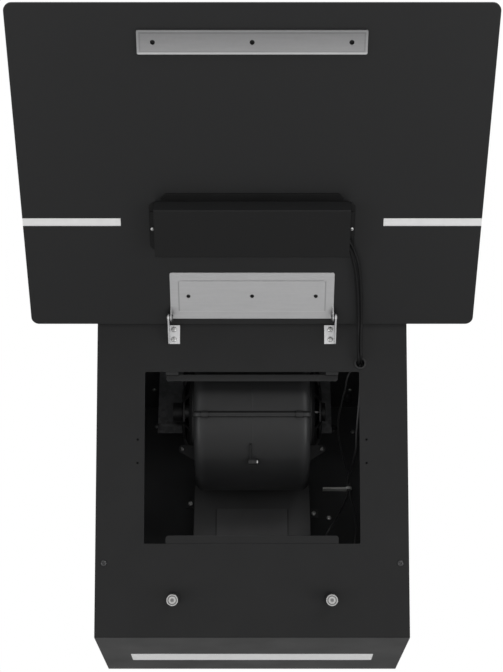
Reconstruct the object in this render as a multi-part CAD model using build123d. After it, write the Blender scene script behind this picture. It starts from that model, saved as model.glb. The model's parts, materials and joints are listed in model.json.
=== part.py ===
from build123d import *
from math import acos, cos, degrees, radians, sin, sqrt
import os

# Angled kitchen range hood with a glass front that swings up on two hinges.
# Sizes are in millimetres. X runs from left to right, Y toward the wall, Z up.
# The origin lies on the wall plane, midway between the four wall screw holes.
# The glass front stands fully open here, as it does for cleaning.

os.makedirs("parts", exist_ok=True)

# Casing
body_width = 420.0
bottom_depth = 197.0
face_length = 446.0
face_lean_deg = 20.6
sheet = 1.2
fold_radius = 2.0
flange = 15.0
top_return = 25.0
mount_height = 238.0
wall_hole_span_x = 260.0
wall_hole_span_z = 280.0
wall_hole_radius = 4.0
trim_gap = 0.2
plate_front_gap = 9.6

# Reach of the cuts that pass right through, and what still counts as the same place
far = 300.0
same_place = 0.01

# Filter opening in the leaning face, measured up the face from the lower edge
opening_width = 290.0
opening_low = 123.5
opening_height = 230.5
opening_corner = 2.0
ledge_width = 234.0
ledge_depth = 12.0
ledge_lip = 9.0
ledge_drop = 3.0
ledge_foot = 17.0
ledge_weld = 13.0
ledge_corner = 3.5
tongue_width = 232.0
tongue_rise = 10.5
tongue_overlap = 16.0

# Holes and screws of the face
accessory_hole_beside = 9.3
accessory_hole_low = 231.2
accessory_hole_pitch = 31.4
accessory_hole_radius = 1.4
casing_screw_x = 198.4
casing_screw_low = 97.7
casing_screw_top_margin = 12.0
casing_screw_head = 4.2
casing_screw_shank = 1.9
screw_head_height = 2.2
screw_head_round = 0.45

# Light in the underside, measured back from the lower front edge
light_width = 339.0
light_setback = 98.0
light_depth = 39.0
light_corner = 2.0
lens_rim = 5.0
lens_rim_thick = 1.5
housing_height = 18.0
housing_wall = 1.5
board_thick = 1.6
board_width = 14.0
led_count = 12
led_size = 5.0
led_height = 1.2

# Blower, placed up the face and behind it
blower_up_face = 304.5
blower_depth = 126.0
scroll_radius = 103.0
scroll_step = 14.0
scroll_half_width = 80.5
scroll_wall = 2.0
scroll_edge = 11.0
duct_front = 44.0
outlet_rim = 9.0
outlet_rim_thick = 3.0
outlet_rim_corner = 4.0
inlet_radius = 60.0
seam_drop = 7.0
seam_height = 3.0
seam_stand = 2.6
clip_width = 9.0
clip_stand = 3.0
clip_lap = 2.0
boss_angle_deg = 41.0
boss_radius = 4.0
boss_length = 11.4
boss_across = 0.6
boss_out = 4.5
rib_angle_deg = 14.0
rib_across = -2.5
rib_thick = 2.0
rib_height = 3.0
lug_up = -54.0
lug_forward = 62.0
lug_height = 10.0
lug_web = 11.0
lug_thick = 3.0
lug_screw_out = 17.0
volute_screw_head = 3.2
volute_screw_shank = 1.5
volute_screw_length = 8.0

# Inlet guards
guard_ring_radius = 74.0
guard_ring_thick = 3.0
guard_dome_radius = 70.0
guard_dome_height = 20.0
guard_dome_bulge = 15.5
guard_shoulder = 0.68
guard_wall = 2.6
guard_spokes = 8
guard_spoke_width = 3.0
guard_rim_width = 6.0
guard_middle_ring = 42.0
guard_hub_radius = 13.5
guard_hub_left = 13.0
guard_hub_right = 5.0

# Impeller and motor
blade_count = 36
blade_tip_radius = 70.0
blade_root_radius = 58.0
blade_thick = 1.2
blade_sweep_deg = 9.0
blade_bend = 0.3
blade_lead = 0.25
impeller_half_width = 68.0
impeller_rim_thick = 2.0
impeller_disc_thick = 2.0
impeller_hub_radius = 12.0
impeller_hub_half = 8.0
impeller_rim_lip = 0.5
shaft_radius = 4.0
shaft_chamfer = 0.6
running_clearance = 0.05
bush_radius = 8.0
bush_length = 9.0
motor_radius = 38.0
motor_rear = 90.0
motor_front = 14.0
motor_neck_radius = 10.0
motor_bearing_depth = 20.0
motor_edge = 5.0
motor_groove_places = (67.5, 40.5)
motor_groove_width = 3.0
motor_groove_depth = 2.0

# Hanger plates beside the blower
hanger_setback = 31.0
hanger_drop = 106.0
hanger_foot = 16.0
hanger_screw_back = 9.6
hanger_left_inner = 102.0
hanger_left_width = 36.0
hanger_right_inner = 100.5
hanger_right_width = 16.0
hanger_screw_radius = 2.0
hanger_screw_head = 3.6

# Exhaust adaptor and its flaps
adaptor_rim = 13.0
adaptor_rim_thick = 3.0
adaptor_rise = 34.0
adaptor_straight = 46.0
adaptor_wall = 2.0
duct_radius = 74.5
adaptor_corner = 12.0
adaptor_rim_corner = 6.0
spigot_length = 5.0
spigot_wall = 1.5
spigot_clearance = 0.1
spigot_lap = 3.0
flap_up = 44.0
flap_thick = 1.5
flap_gap = 1.3
flap_leaf_gap = 0.5
flap_rod_radius = 1.5
flap_knuckle_radius = 3.2
flap_knuckle_pitch = 30.0
flap_stop = 4.0
flap_stop_thick = 2.0
flap_notch = 6.0
flap_notch_half = 9.0
flap_side_gap = 0.3
flap_knuckle_lap = 1.0
rod_boss_radius = 4.0
rod_boss_length = 3.0

# Wiring box on the inside of the wall side
box_half_width = 88.0
box_low = -130.0
box_high = 26.0
box_depth = 55.0
box_wall = 2.0
box_lid = 3.0
box_panel_half = 53.0
box_panel_drop = 38.0
box_panel_height = 70.0
box_panel_raise = 2.5
box_lid_edge = 2.0
box_lug_reach = 14.0
box_lug_height = 14.0
box_lug_left_up = 14.0
box_lug_right_up = -2.0
box_lug_screw = 7.0
box_wire_entry = (-50.0, -74.0)
terminal_size = (46.0, 18.0, 16.0)
terminal_up = -70.0
terminal_count = 4
terminal_hole = 2.6
terminal_hole_depth = 6.0
capacitor_radius = 14.0
capacitor_length = 55.0
capacitor_up = -20.0

# Lead fittings and inner screws
grommet_x = 146.6
grommet_above_opening = 11.7
grommet_hole = 5.8
grommet_seat = 6.9
grommet_rim = 8.5
grommet_rim_stand = 1.8
grommet_rim_round = 1.1
grommet_inside = 3.0
saddle_left = 110.0
saddle_z = 37.0
saddle_height = 3.0
saddle_depth = 10.0
hoop_at = (150.0, -9.0)
hoop_radius = 3.4
hoop_wall = 1.5
hoop_height = 3.4
lead_diameter = 3.9
wire_diameter = 2.6
wire_clearance = 0.2
lead_bend_share = 0.45
inner_screw_head = 3.4
inner_screw_top = (152.0, -71.0)
inner_screws_wall = ((-152.0, 144.0), (160.0, 135.0), (118.6, -7.8))
gland_x = 150.0
gland_from_wall = 47.0
gland_radius = 8.0
gland_hole = 4.0
gland_rim = 11.0
gland_rise = 9.0
gland_inside = 8.0
gland_edge = 2.0

# Glass front, measured along the glass from its hinge side edge
glass_width = 597.0
glass_length = 435.6
glass_thick = 4.0
glass_corner = 10.0
open_angle_deg = 145.6
hinge_below_top = 20.3
pivot_off_face = 21.9
pivot_off_glass = 9.6
glass_beyond_pivot = 14.9

# Light strips let into the sides of the glass
strip_inner = 170.8
strip_near = 144.8
strip_height = 10.9
strip_gap = 0.15

# Hinge bracket on the glass
bracket_half_width = 109.6
bracket_near = 8.9
bracket_length = 68.9
bracket_thick = 1.5
bracket_corner = 3.0
bracket_field_half = 98.0
bracket_field_near = 20.3
bracket_field_length = 45.6
bracket_field_raise = 1.2
bracket_hole_pitch = 85.2
bracket_hole_from_edge = 43.4
bracket_hole_radius = 2.7
ear_length = 19.0
ear_round = 5.0

# Hinge leaves on the face
leaf_thick = 2.0
leaf_gap = 0.3
washer_thick = 1.5
washer_radius = 4.2
leaf_flange_width = 15.5
leaf_flange_low = 33.8
leaf_flange_high = 8.3
leaf_arm_edge = 5.0
leaf_arm_setback = 5.0
pin_edge = 0.6
leaf_screw_pitch = 13.5
leaf_screw_below = 14.1
leaf_screw_in = 7.2
leaf_screw_head = 3.7
pin_radius = 2.5
pin_head_radius = 4.2
pin_head_thick = 1.6

# Catches: magnets on the face, steel strike on the glass
catch_x = 105.0
strike_half_width = 140.0
strike_from_free_edge = 46.8
strike_height = 29.8
strike_stand = 4.2
strike_wall = 1.2
strike_border = 3.0
strike_corner = 2.0
strike_inner_corner = 1.0
strike_hole_pitch = 120.6
strike_hole_radius = 3.0
catch_clearance = 0.3
catch_radius = 7.65
magnet_thick = 4.0
magnet_rim = 1.4
magnet_recess = 0.8
magnet_dimple = 2.6
magnet_edge = 0.5
post_radius = 8.0

# Control box on the glass
control_half_width = 125.5
control_near = 113.8
control_length = 66.0
control_stand = 30.5
control_wall = 1.5
control_base_half = 133.7
control_base_near = 111.4
control_base_thick = 1.5
control_base_corner = 5.0
control_base_far_inset = 2.0
control_tab_half = 117.5
control_tab_reach = 11.0
control_tab_corner = 6.0
control_ear_reach = 6.5
control_ear_near = 118.0
control_ear_length = 48.0
control_screw_x = 129.6
control_screw_near = 142.0
control_screw_head = 2.6
control_screw_shank = 1.2
control_board_margin = 6.0
control_board_stand = 9.0
control_board_thick = 1.6
control_post_radius = 3.0
control_post_in = 14.0
control_cover_edge = 1.2
relay_x = (-70.0, -30.0)
relay_half = 12.0
relay_height = 12.0
chip_x = (20.0, 44.0)
chip_half = 8.0
chip_height = 9.0
lead_exit_near = 125.3
lead_exit_stand = 12.7
lead_exit_length = 18.8
lead_exit_height = 5.2
lead_plug_x = (90.0, 104.0)
lead_plug_near = (128.0, 143.0)
lead_plug_height = 7.0

# Routes of the two leads from the control box into the casing
lead_routes = [
    [
        (104.0, -471.1, 221.7),
        (116.0, -471.1, 221.7),
        (126.5, -462.5, 215.8),
        (133.0, -449.9, 210.1),
        (139.2, -435.8, 201.5),
        (143.0, -417.6, 190.0),
        (145.4, -394.0, 174.1),
        (147.0, -371.9, 158.6),
        (147.8, -354.4, 145.1),
        (146.2, -349.3, 125.7),
        (147.2, -339.7, 100.2),
        (147.9, -312.9, 110.3),
    ],
    [
        (104.0, -464.6, 217.1),
        (116.0, -464.6, 217.1),
        (126.2, -456.1, 211.3),
        (130.6, -443.8, 205.8),
        (134.9, -430.1, 197.5),
        (138.6, -413.1, 186.8),
        (141.2, -391.5, 172.3),
        (142.9, -371.9, 158.6),
        (143.6, -354.4, 145.1),
        (143.0, -346.2, 124.7),
        (143.9, -336.4, 98.7),
        (144.7, -312.0, 107.9),
    ],
]
# Routes of the two wires inside the casing, to the underside light and to the wiring box
wire_routes = [
    [
        (144.7, -311.9, 108.0),
        (144.7, -303.8, 111.0),
        (140.5, -284.0, 116.0),
        (134.5, -252.0, 118.5),
        (134.0, -216.0, 115.0),
        (129.7, -177.0, 105.7),
        (126.8, -147.0, 94.4),
        (128.3, -117.0, 85.8),
        (136.1, -80.0, 68.1),
        (145.5, -36.0, 59.0),
        (151.4, -10.5, 50.0),
        (151.4, -9.0, 30.0),
        (153.6, -24.0, 9.5),
        (156.2, -45.0, -12.0),
        (153.8, -80.0, -52.8),
        (148.4, -95.0, -80.0),
        (144.0, -98.0, -120.0),
        (141.6, -97.0, -160.0),
        (141.0, -96.0, -193.0),
        (141.0, -96.0, -219.3),
    ],
    [
        (147.9, -312.8, 110.4),
        (147.9, -304.5, 113.4),
        (149.5, -285.0, 104.0),
        (150.0, -262.0, 84.0),
        (148.0, -236.0, 60.0),
        (147.4, -212.0, 44.5),
        (149.2, -186.0, 38.5),
        (149.6, -146.0, 40.5),
        (150.2, -100.0, 44.8),
        (150.2, -60.0, 47.8),
        (149.0, -30.0, 49.0),
        (148.6, -10.0, 46.0),
        (148.6, -9.0, 26.0),
        (141.5, -29.0, 8.0),
        (131.7, -60.0, -18.5),
        (122.1, -85.0, -40.6),
        (112.2, -94.0, -56.0),
        (105.0, -74.0, -70.0),
        (99.5, -50.0, -74.0),
        (84.5, -50.0, -74.0),
    ],
]

# Values worked out from the ones above
lean = radians(face_lean_deg)
opening_angle = radians(open_angle_deg)
z_bottom = -mount_height
z_top = z_bottom + face_length * cos(lean)
top_depth = bottom_depth + face_length * sin(lean)
half_width = body_width / 2
inner_half = half_width - sheet
plate_low = z_top - 2 * sheet
opening_high = opening_low + opening_height
hinge_up_face = face_length - hinge_below_top
strike_mid = glass_length - strike_from_free_edge
catch_up_face = hinge_up_face + glass_beyond_pivot - strike_mid
stand_off = pivot_off_face + pivot_off_glass
side_x = scroll_half_width
hub_face = side_x + guard_dome_height
accessory_hole_x = opening_width / 2 + accessory_hole_beside
duct_inner = duct_radius - adaptor_wall
scroll_back = scroll_step / 2 + scroll_radius + scroll_step
outlet_half_y = (scroll_back - duct_front) / 2

face_up = Vector(0, -sin(lean), cos(lean))
face_out = Vector(0, -cos(lean), -sin(lean))
lower_edge = Vector(0, -bottom_depth, z_bottom)
blower_axis = lower_edge + face_up * blower_up_face - face_out * blower_depth
pivot = lower_edge + face_up * hinge_up_face + face_out * pivot_off_face
door_up = face_out * sin(opening_angle) - face_up * cos(opening_angle)
door_in = -face_out * cos(opening_angle) - face_up * sin(opening_angle)
door_corner = pivot - door_up * glass_beyond_pivot - door_in * pivot_off_glass

# On the face: x across, y up the face, z out of it
FACE = Plane(origin=lower_edge, x_dir=(1, 0, 0), z_dir=face_out).location
# On the glass: x across, y toward the free edge, z from the glass toward the casing
DOOR = Plane(origin=door_corner, x_dir=(1, 0, 0), z_dir=door_in).location
# About the blower: upright, and tilted so that z runs up the face
BLOWER = Pos(*blower_axis)
SEAM = BLOWER * Rot(X=face_lean_deg)
# On the top plate above the blower's outlet, and on the underside
outlet_y = blower_axis.Y + (duct_front + scroll_back) / 2
OUTLET = Pos(0, outlet_y, plate_low + sheet)
UNDER = Pos(0, -bottom_depth, z_bottom)


def block(x, y, z):
    """A box between pairs of coordinates."""
    sizes = [high - low for low, high in (x, y, z)]
    middles = [(high + low) / 2 for low, high in (x, y, z)]
    return Pos(*middles) * Box(*sizes)


def stud(radius, z, at=(0, 0)):
    """A cylinder along Z between two heights."""
    return Pos(at[0], at[1], (z[0] + z[1]) / 2) * Cylinder(radius, z[1] - z[0])


def axle(radius, x, at=(0, 0)):
    """A cylinder along X between two places."""
    return Pos((x[0] + x[1]) / 2, at[0], at[1]) * Rot(Y=90) * Cylinder(radius, x[1] - x[0])


def card(x, y, z, radius):
    """A plate between pairs of coordinates, its corners rounded as seen along Z."""
    outline = RectangleRounded(x[1] - x[0], y[1] - y[0], radius)
    return Pos((x[0] + x[1]) / 2, (y[0] + y[1]) / 2, z[0]) * extrude(outline, amount=z[1] - z[0])


def across(outline, half):
    """A profile drawn with Y and Z, made solid over the same distance to both sides."""
    return extrude(Plane.YZ * outline, amount=half, both=True)


def screw(head, height, shank, length, base=0.0):
    """A round-headed screw standing on z = base, with its shank below."""
    dome = stud(head, (base, base + height))
    dome = fillet(dome.edges().sort_by(Axis.Z)[-1], height * screw_head_round)
    return dome + stud(shank, (base - length, base))


def both_sides(shape):
    """The shape and its mirror image across the middle of the hood."""
    return [shape, mirror(shape, about=Plane.YZ)]


# Casing


def casing_outline(inset, fold):
    """The side view of the casing, with its two front folds rounded."""
    corners = [
        (-top_depth, z_top),
        (-bottom_depth, z_bottom),
        (0, z_bottom),
        (0, z_top),
    ]
    outline = make_face(Polyline(*corners, close=True))
    if inset:
        outline = offset(outline, -inset, kind=Kind.INTERSECTION)
    front = outline.vertices().sort_by(Axis.X)[:2]
    return fillet(front, fold)


def light_slot(gap, z):
    """The rectangle of the underside light, grown or shrunk by a gap."""
    x = light_width / 2 + gap
    return card((-x, x), (light_setback - gap, light_setback + light_depth + gap), z, light_corner)


def casing_screw_points():
    """Places of the black screws on the face."""
    high = face_length - casing_screw_top_margin
    return [(side * casing_screw_x, up) for side in (-1, 1) for up in (casing_screw_low, high)]


def leaf_screw_points():
    """Places of the hinge leaves' screws on the face, right side."""
    x = leaf_outer() - leaf_screw_in
    high = hinge_up_face - leaf_screw_below
    return [(x, high), (x, high - leaf_screw_pitch)]


def leaf_outer():
    """Outer side of the hinge leaf, counted from the ear of the glass bracket."""
    return bracket_half_width + leaf_gap + washer_thick + leaf_thick


def front_shell():
    """Leaning face and underside, folded from one sheet, with a return at the top and at the wall."""
    ring = casing_outline(0, fold_radius) - casing_outline(sheet, fold_radius - sheet)
    shell = across(ring, half_width)
    shell -= block((-far, far), (-sheet, far), (z_bottom - far, z_top + far))
    shell -= block((-far, far), (-top_depth + top_return, far), (z_top - 3 * sheet, z_top + far))
    shell += block((-inner_half, inner_half), (-2 * sheet, -sheet), (z_bottom, z_bottom + flange))
    deep = (-4 * sheet, sheet)
    opening = opening_width / 2
    cuts = [card((-opening, opening), (opening_low, opening_high), deep, opening_corner)]
    cuts += [
        stud(accessory_hole_radius, deep, (side * accessory_hole_x, accessory_hole_low + step))
        for side in (-1, 1)
        for step in (0, accessory_hole_pitch)
    ]
    cuts += [stud(casing_screw_shank, deep, place) for place in casing_screw_points()]
    for x, up in leaf_screw_points():
        cuts += [stud(casing_screw_shank, deep, (side * x, up)) for side in (-1, 1)]
    grommet_at = (grommet_x, opening_high + grommet_above_opening)
    cuts.append(stud(grommet_seat, deep, grommet_at))
    for cut in cuts:
        shell -= FACE * cut
    return shell - UNDER * light_slot(0, (-sheet, 2 * sheet))


def wall_hole_points():
    """Places of the wall screws, in X and Z."""
    x, z = wall_hole_span_x / 2, wall_hole_span_z / 2
    return [(i * x, j * z) for i in (-1, 1) for j in (-1, 1)]


def rear_shell():
    """The two sides and the wall side, folded from one sheet, with flanges that take the screws."""
    outline = casing_outline(sheet, fold_radius - sheet)
    sides = across(outline, half_width) - across(outline, inner_half)
    shell = sides + block((-half_width, half_width), (-sheet, 0), (z_bottom, z_top))
    low = inner_half - flange
    for side in (-1, 1):
        x = sorted((side * low, side * (inner_half + sheet / 2)))
        front = block(x, (flange, face_length - flange), (-2 * sheet, -sheet))
        bottom = block(x, (-bottom_depth + flange, -flange), (z_bottom + sheet, z_bottom + 2 * sheet))
        top = block(x, (-top_depth + flange, -flange), (plate_low - sheet, plate_low))
        shell += FACE * front
        shell += bottom
        shell += top
    for place in casing_screw_points():
        shell -= FACE * stud(casing_screw_shank, (-4 * sheet, 0), place)
    for x, z in wall_hole_points():
        shell -= Pos(x, 0, z) * Rot(X=90) * Cylinder(wall_hole_radius, 4 * sheet)
    for x, z in inner_screws_wall:
        shell -= Pos(x, 0, z) * Rot(X=90) * Cylinder(volute_screw_shank, 4 * sheet)
    return shell


def top_plate():
    """The sheet over the blower, with the outlet hole, the mains gland's hole and its screw holes."""
    front = -top_depth + plate_front_gap
    plate = block((-inner_half, inner_half), (front, -sheet), (plate_low, plate_low + sheet))
    plate -= OUTLET * outlet_block(0, (-2 * sheet, sheet))
    plate -= Pos(gland_x, -gland_from_wall, plate_low) * stud(gland_radius, (-sheet, 2 * sheet))
    for side in (-1, 1):
        x, y = side * inner_screw_top[0], inner_screw_top[1]
        plate -= Pos(x, y, plate_low) * stud(volute_screw_shank, (-sheet, 2 * sheet))
    for x, y in hanger_screw_points():
        plate -= Pos(x, y, plate_low) * stud(hanger_screw_radius, (-sheet, 2 * sheet))
    return plate


def outlet_block(grow, z):
    """The clear rectangle of the blower's outlet, grown on every side."""
    half_x = scroll_half_width - scroll_wall + grow
    half_y = outlet_half_y - scroll_wall + grow
    return block((-half_x, half_x), (-half_y, half_y), z)


def filter_ledge_top():
    """Strip that the filter's upper edge slips behind, on two feet welded behind the face."""
    half = ledge_width / 2
    low = opening_high - ledge_drop - ledge_lip
    high = opening_high - ledge_drop
    back = -ledge_depth - sheet
    strip = card((-half, half), (low, high), (back, -ledge_depth), ledge_corner)
    strip += block((-half, half), (high - ledge_corner, high), (back, -ledge_depth))
    for side in (-1, 1):
        x = sorted((side * (half - ledge_foot), side * half))
        strip += block(x, (high - sheet, high), (back, -sheet))
        strip += block(x, (high - sheet, high + ledge_weld), (-2 * sheet, -sheet))
    return FACE * strip


def filter_ledge_bottom():
    """Tongue behind the opening's lower edge that carries the filter."""
    half = tongue_width / 2
    low, high = opening_low - tongue_overlap, opening_low + tongue_rise
    back = -2 * sheet
    tongue = card((-half, half), (low, high), (back, -sheet), ledge_corner)
    inset = half - ledge_corner
    tongue += block((-inset, inset), (high - sheet, high), (-ledge_depth / 2, back))
    return FACE * tongue


def casing_screws():
    """Black screws through the face into the side flanges."""
    one = screw(casing_screw_head, screw_head_height, casing_screw_shank, 6 * sheet)
    return [FACE * Pos(x, up, 0) * one for x, up in casing_screw_points()]


# Blower


def rounded_scroll(inset, half, top, edge):
    """The scroll, three arcs about the corners of a small square, and its duct, shrunk by inset."""
    step = scroll_step
    r_top = scroll_radius - step - inset
    r_low = scroll_radius - inset
    r_back = scroll_radius + step - inset
    throat = duct_front + inset
    back = scroll_back - inset
    start = acos((throat + step / 2) / r_top)
    tongue = (throat, r_top * sin(start) - step / 2)
    outline = [
        CenterArc((-step / 2, -step / 2), r_top, degrees(start), 180 - degrees(start)),
        CenterArc((step / 2, -step / 2), r_low, 180, 90),
        CenterArc((step / 2, step / 2), r_back, 270, 90),
        Line((back, step / 2), (back, tongue[1])),
        Line((back, tongue[1]), tongue),
    ]
    drum = across(make_face(outline), half)
    rims = [
        rim
        for rim in drum.edges().filter_by(GeomType.CIRCLE)
        if abs(abs(rim.center().X) - half) < same_place
    ]
    drum = fillet(rims, edge)
    duct = block((-half, half), (throat, back), (tongue[1] - 1, top))
    return drum + fillet(duct.edges().filter_by(Axis.Z).sort_by(Axis.Y)[-2:], edge)


def volute():
    """The scroll housing about the blower axis: a shell with a seam rib, clips, lugs and a boss."""
    top = plate_low - blower_axis.Z
    shell = rounded_scroll(0, side_x, top, scroll_edge)
    hollow = rounded_scroll(scroll_wall, side_x - scroll_wall, top + 1, scroll_edge - scroll_wall)
    rib = rounded_scroll(-seam_stand, side_x + seam_stand, top, scroll_edge)
    band_z = (-seam_drop - seam_height, -seam_drop + seam_height)
    band = Rot(X=face_lean_deg) * block((-far, far), (-far, 0), band_z)
    shell += (rib & band) - axle(guard_ring_radius + 1, (-far, far))
    rim_y = (duct_front - outlet_rim, scroll_back + outlet_rim)
    rim_x = side_x + outlet_rim
    shell += card((-rim_x, rim_x), rim_y, (top - outlet_rim_thick, top), outlet_rim_corner)
    shell += boss_and_rib()
    for side in (-1, 1):
        shell += mount_lug(side)
        shell += seam_clips(side)
    shell -= hollow
    shell -= axle(inlet_radius, (-far, far))
    shell -= boss_bore()
    for x, y in lug_screw_points():
        shell -= Rot(X=face_lean_deg) * Pos(x, y, lug_up) * Rot(X=90) * Cylinder(volute_screw_shank, far)
    return shell


def front_of_scroll(angle_deg):
    """Distance from the axis to the front of the scroll, at an angle below the tilted middle plane."""
    angle = radians(180 + face_lean_deg + angle_deg)
    centre = Vector(scroll_step / 2, -scroll_step / 2)
    along = centre.X * cos(angle) + centre.Y * sin(angle)
    off = centre.X * sin(angle) - centre.Y * cos(angle)
    return along + sqrt(scroll_radius**2 - off**2)


def boss_place():
    """Frame at the middle of the boss on the front of the scroll, with z pointing out of the surface."""
    turn = Rot(X=face_lean_deg + boss_angle_deg) * Rot(X=90)
    return turn * Pos(boss_across, 0, front_of_scroll(boss_angle_deg) + boss_out)


def boss_and_rib():
    """Cross boss low on the front of the scroll for a screw from the right, with the rib above it."""
    half = boss_length / 2
    boss = axle(boss_radius, (-half, half))
    boss += block((-half, half), (-boss_radius, boss_radius), (-boss_out - scroll_wall, 0))
    boss = boss_place() * boss
    middle = boss_angle_deg - rib_angle_deg / 2
    reach = front_of_scroll(middle)
    length = reach * radians(rib_angle_deg)
    rib_x = (rib_across - rib_thick / 2, rib_across + rib_thick / 2)
    rib = block(rib_x, (-length / 2, length / 2), (-scroll_wall, rib_height))
    place = Rot(X=face_lean_deg + middle) * Rot(X=90) * Pos(0, 0, reach)
    return boss + place * rib


def boss_bore():
    """Screw hole of the boss, from its right end."""
    half = boss_length / 2
    return boss_place() * axle(volute_screw_shank, (half - volute_screw_length, half + 1))


def lug_screw_points():
    """Places of the lug screws across and into the casing, in the tilted blower frame."""
    return [(side * (side_x + lug_screw_out), -lug_forward) for side in (-1, 1)]


def mount_lug(side):
    """Flat lug at the side of the scroll, round about its screw, with a slanted web below."""
    root = Pos(-scroll_wall / 2, -lug_web / 2) * Rectangle(scroll_wall, lug_height + lug_web)
    tip = Pos(lug_screw_out, 0) * Circle(lug_height / 2)
    plate = extrude(make_hull(root.edges() + tip.edges()), amount=lug_thick / 2, both=True)
    if side < 0:
        plate = mirror(plate, about=Plane.YZ)
    return Rot(X=face_lean_deg) * Pos(side * side_x, -lug_forward, lug_up) * Rot(X=90) * plate


def seam_clips(side):
    """Snap clip that closes the seam near one end of its front."""
    reach = front_of_scroll(0)
    x = sorted((side * (side_x - scroll_edge), side * (side_x - scroll_edge - clip_width)))
    y = (-reach - seam_stand - clip_stand, -reach + scroll_wall / 2)
    half = seam_height + clip_lap
    clip = block(x, y, (-seam_drop - half, -seam_drop + half))
    return Rot(X=face_lean_deg) * fillet(clip.edges().filter_by(Axis.X).sort_by(Axis.Y)[:2], clip_lap)


def volute_half(whole, upper):
    """The part of the housing above or below the split plane."""
    z = (-seam_drop, far) if upper else (-far, -seam_drop)
    return BLOWER * (whole & (Rot(X=face_lean_deg) * block((-far, far), (-far, far), z)))


def inlet_guard(side):
    """Domed guard over one inlet, with spokes, a middle ring and the hub that carries motor or bush."""
    rim = side_x + guard_ring_thick

    def dome(back):
        edge = Vector(side_x + guard_ring_thick - back, guard_dome_radius)
        shoulder = Vector(side_x + guard_dome_bulge - back, guard_dome_radius * guard_shoulder)
        crown = Vector(hub_face - back, guard_hub_radius)
        outline = [
            ThreePointArc(edge, shoulder, crown),
            Line(crown, (crown.X, 0)),
            Line((crown.X, 0), (0, 0)),
            Line((0, 0), (0, guard_dome_radius)),
            Line((0, guard_dome_radius), edge),
        ]
        return revolve(make_face(outline), axis=Axis.X)

    pattern = Circle(guard_dome_radius) - Circle(guard_dome_radius - guard_rim_width)
    pattern += Circle(guard_middle_ring) - Circle(guard_middle_ring - guard_spoke_width)
    pattern += Circle(guard_hub_radius)
    pattern += [
        Rot(Z=turn * 360 / guard_spokes) * Pos(guard_dome_radius / 2, 0)
        * Rectangle(guard_dome_radius - 1, guard_spoke_width)
        for turn in range(guard_spokes)
    ]
    grille = (dome(0) - dome(guard_wall)) & extrude(Plane.YZ * pattern, amount=hub_face + 5)
    guard = grille & block((side_x, far), (-far, far), (-far, far))
    guard += axle(guard_ring_radius, (side_x, rim)) - axle(inlet_radius + 2, (side_x - 1, rim + 1))
    hub_out = guard_hub_left if side < 0 else guard_hub_right
    bore = motor_neck_radius if side < 0 else bush_radius
    start = hub_face - guard_wall if side < 0 else hub_face + guard_hub_right - bush_length
    guard += axle(guard_hub_radius, (start, hub_face + hub_out))
    guard -= axle(bore, (0, far))
    if side < 0:
        guard = mirror(guard, about=Plane.YZ)
    return BLOWER * guard


def motor():
    """Motor inside the left half of the impeller, held by its neck in the left guard's hub."""
    body = axle(motor_radius, (-motor_rear, -motor_front))
    body = fillet(body.edges().filter_by(GeomType.CIRCLE), motor_edge)
    for place in motor_groove_places:
        x = (-place, -place + motor_groove_width)
        body -= axle(motor_radius + 1, x) - axle(motor_radius - motor_groove_depth, x)
    body += axle(motor_neck_radius, (-hub_face - guard_hub_left, -motor_rear + 1))
    front_bore = shaft_radius + running_clearance
    body -= axle(front_bore, (-motor_front - motor_bearing_depth, 0))
    return BLOWER * body


def shaft_bush():
    """Bronze bush in the right guard's hub."""
    high = hub_face + guard_hub_right
    bush = axle(bush_radius, (high - bush_length, high))
    return BLOWER * (bush - axle(shaft_radius + running_clearance, (0, far)))


def impeller_shaft():
    """Steel shaft from the motor to the right bush."""
    x = (-motor_front - motor_bearing_depth + 2, hub_face + guard_hub_right + 1)
    rod = axle(shaft_radius, x)
    return BLOWER * chamfer(rod.edges().filter_by(GeomType.CIRCLE), shaft_chamfer)


def impeller():
    """Double drum impeller: forward-curved blades on a middle disc, closed by a rim at each end."""
    tip, root = blade_tip_radius, blade_root_radius
    sweep = radians(blade_sweep_deg)
    middle = (tip + root) / 2
    curve = ThreePointArc(
        (root, 0),
        (middle * cos(sweep * blade_bend), -middle * sin(sweep * blade_bend)),
        (tip * cos(sweep * blade_lead), tip * sin(sweep * blade_lead)),
    )
    blade = trace(curve, line_width=blade_thick)
    ring = Sketch() + [Rot(Z=turn * 360 / blade_count) * blade for turn in range(blade_count)]
    drum = across(ring, impeller_half_width)
    rim_x = (0, impeller_rim_thick)
    rim = axle(tip + impeller_rim_lip, rim_x) - axle(root - impeller_rim_lip, rim_x)
    drum += Pos(impeller_half_width - impeller_rim_thick, 0, 0) * rim
    drum += Pos(-impeller_half_width, 0, 0) * rim
    half_disc = impeller_disc_thick / 2
    drum += axle(tip, (-half_disc, half_disc))
    drum += axle(impeller_hub_radius, (-impeller_hub_half, impeller_hub_half))
    drum -= axle(shaft_radius, (-far, far))
    return BLOWER * drum


def volute_screws():
    """Screws of the two lugs and of the front boss."""
    one = screw(volute_screw_head, screw_head_height, volute_screw_shank, volute_screw_length)
    outward = Rot(X=90)
    screws = [
        SEAM * Pos(x, y - lug_thick / 2, lug_up) * outward * one for x, y in lug_screw_points()
    ]
    return screws + [BLOWER * boss_place() * Pos(boss_length / 2, 0, 0) * Rot(Y=90) * one]


# Plates and adaptor on the top plate


def hanger_screw_points():
    """Places of the screws that hold the hanger plates, in X and Y."""
    y = blower_axis.Y + hanger_setback + hanger_screw_back
    left = -hanger_left_inner - hanger_left_width / 2
    right = hanger_right_inner + hanger_right_width / 2
    return [(left, y), (right, y)]


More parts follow.
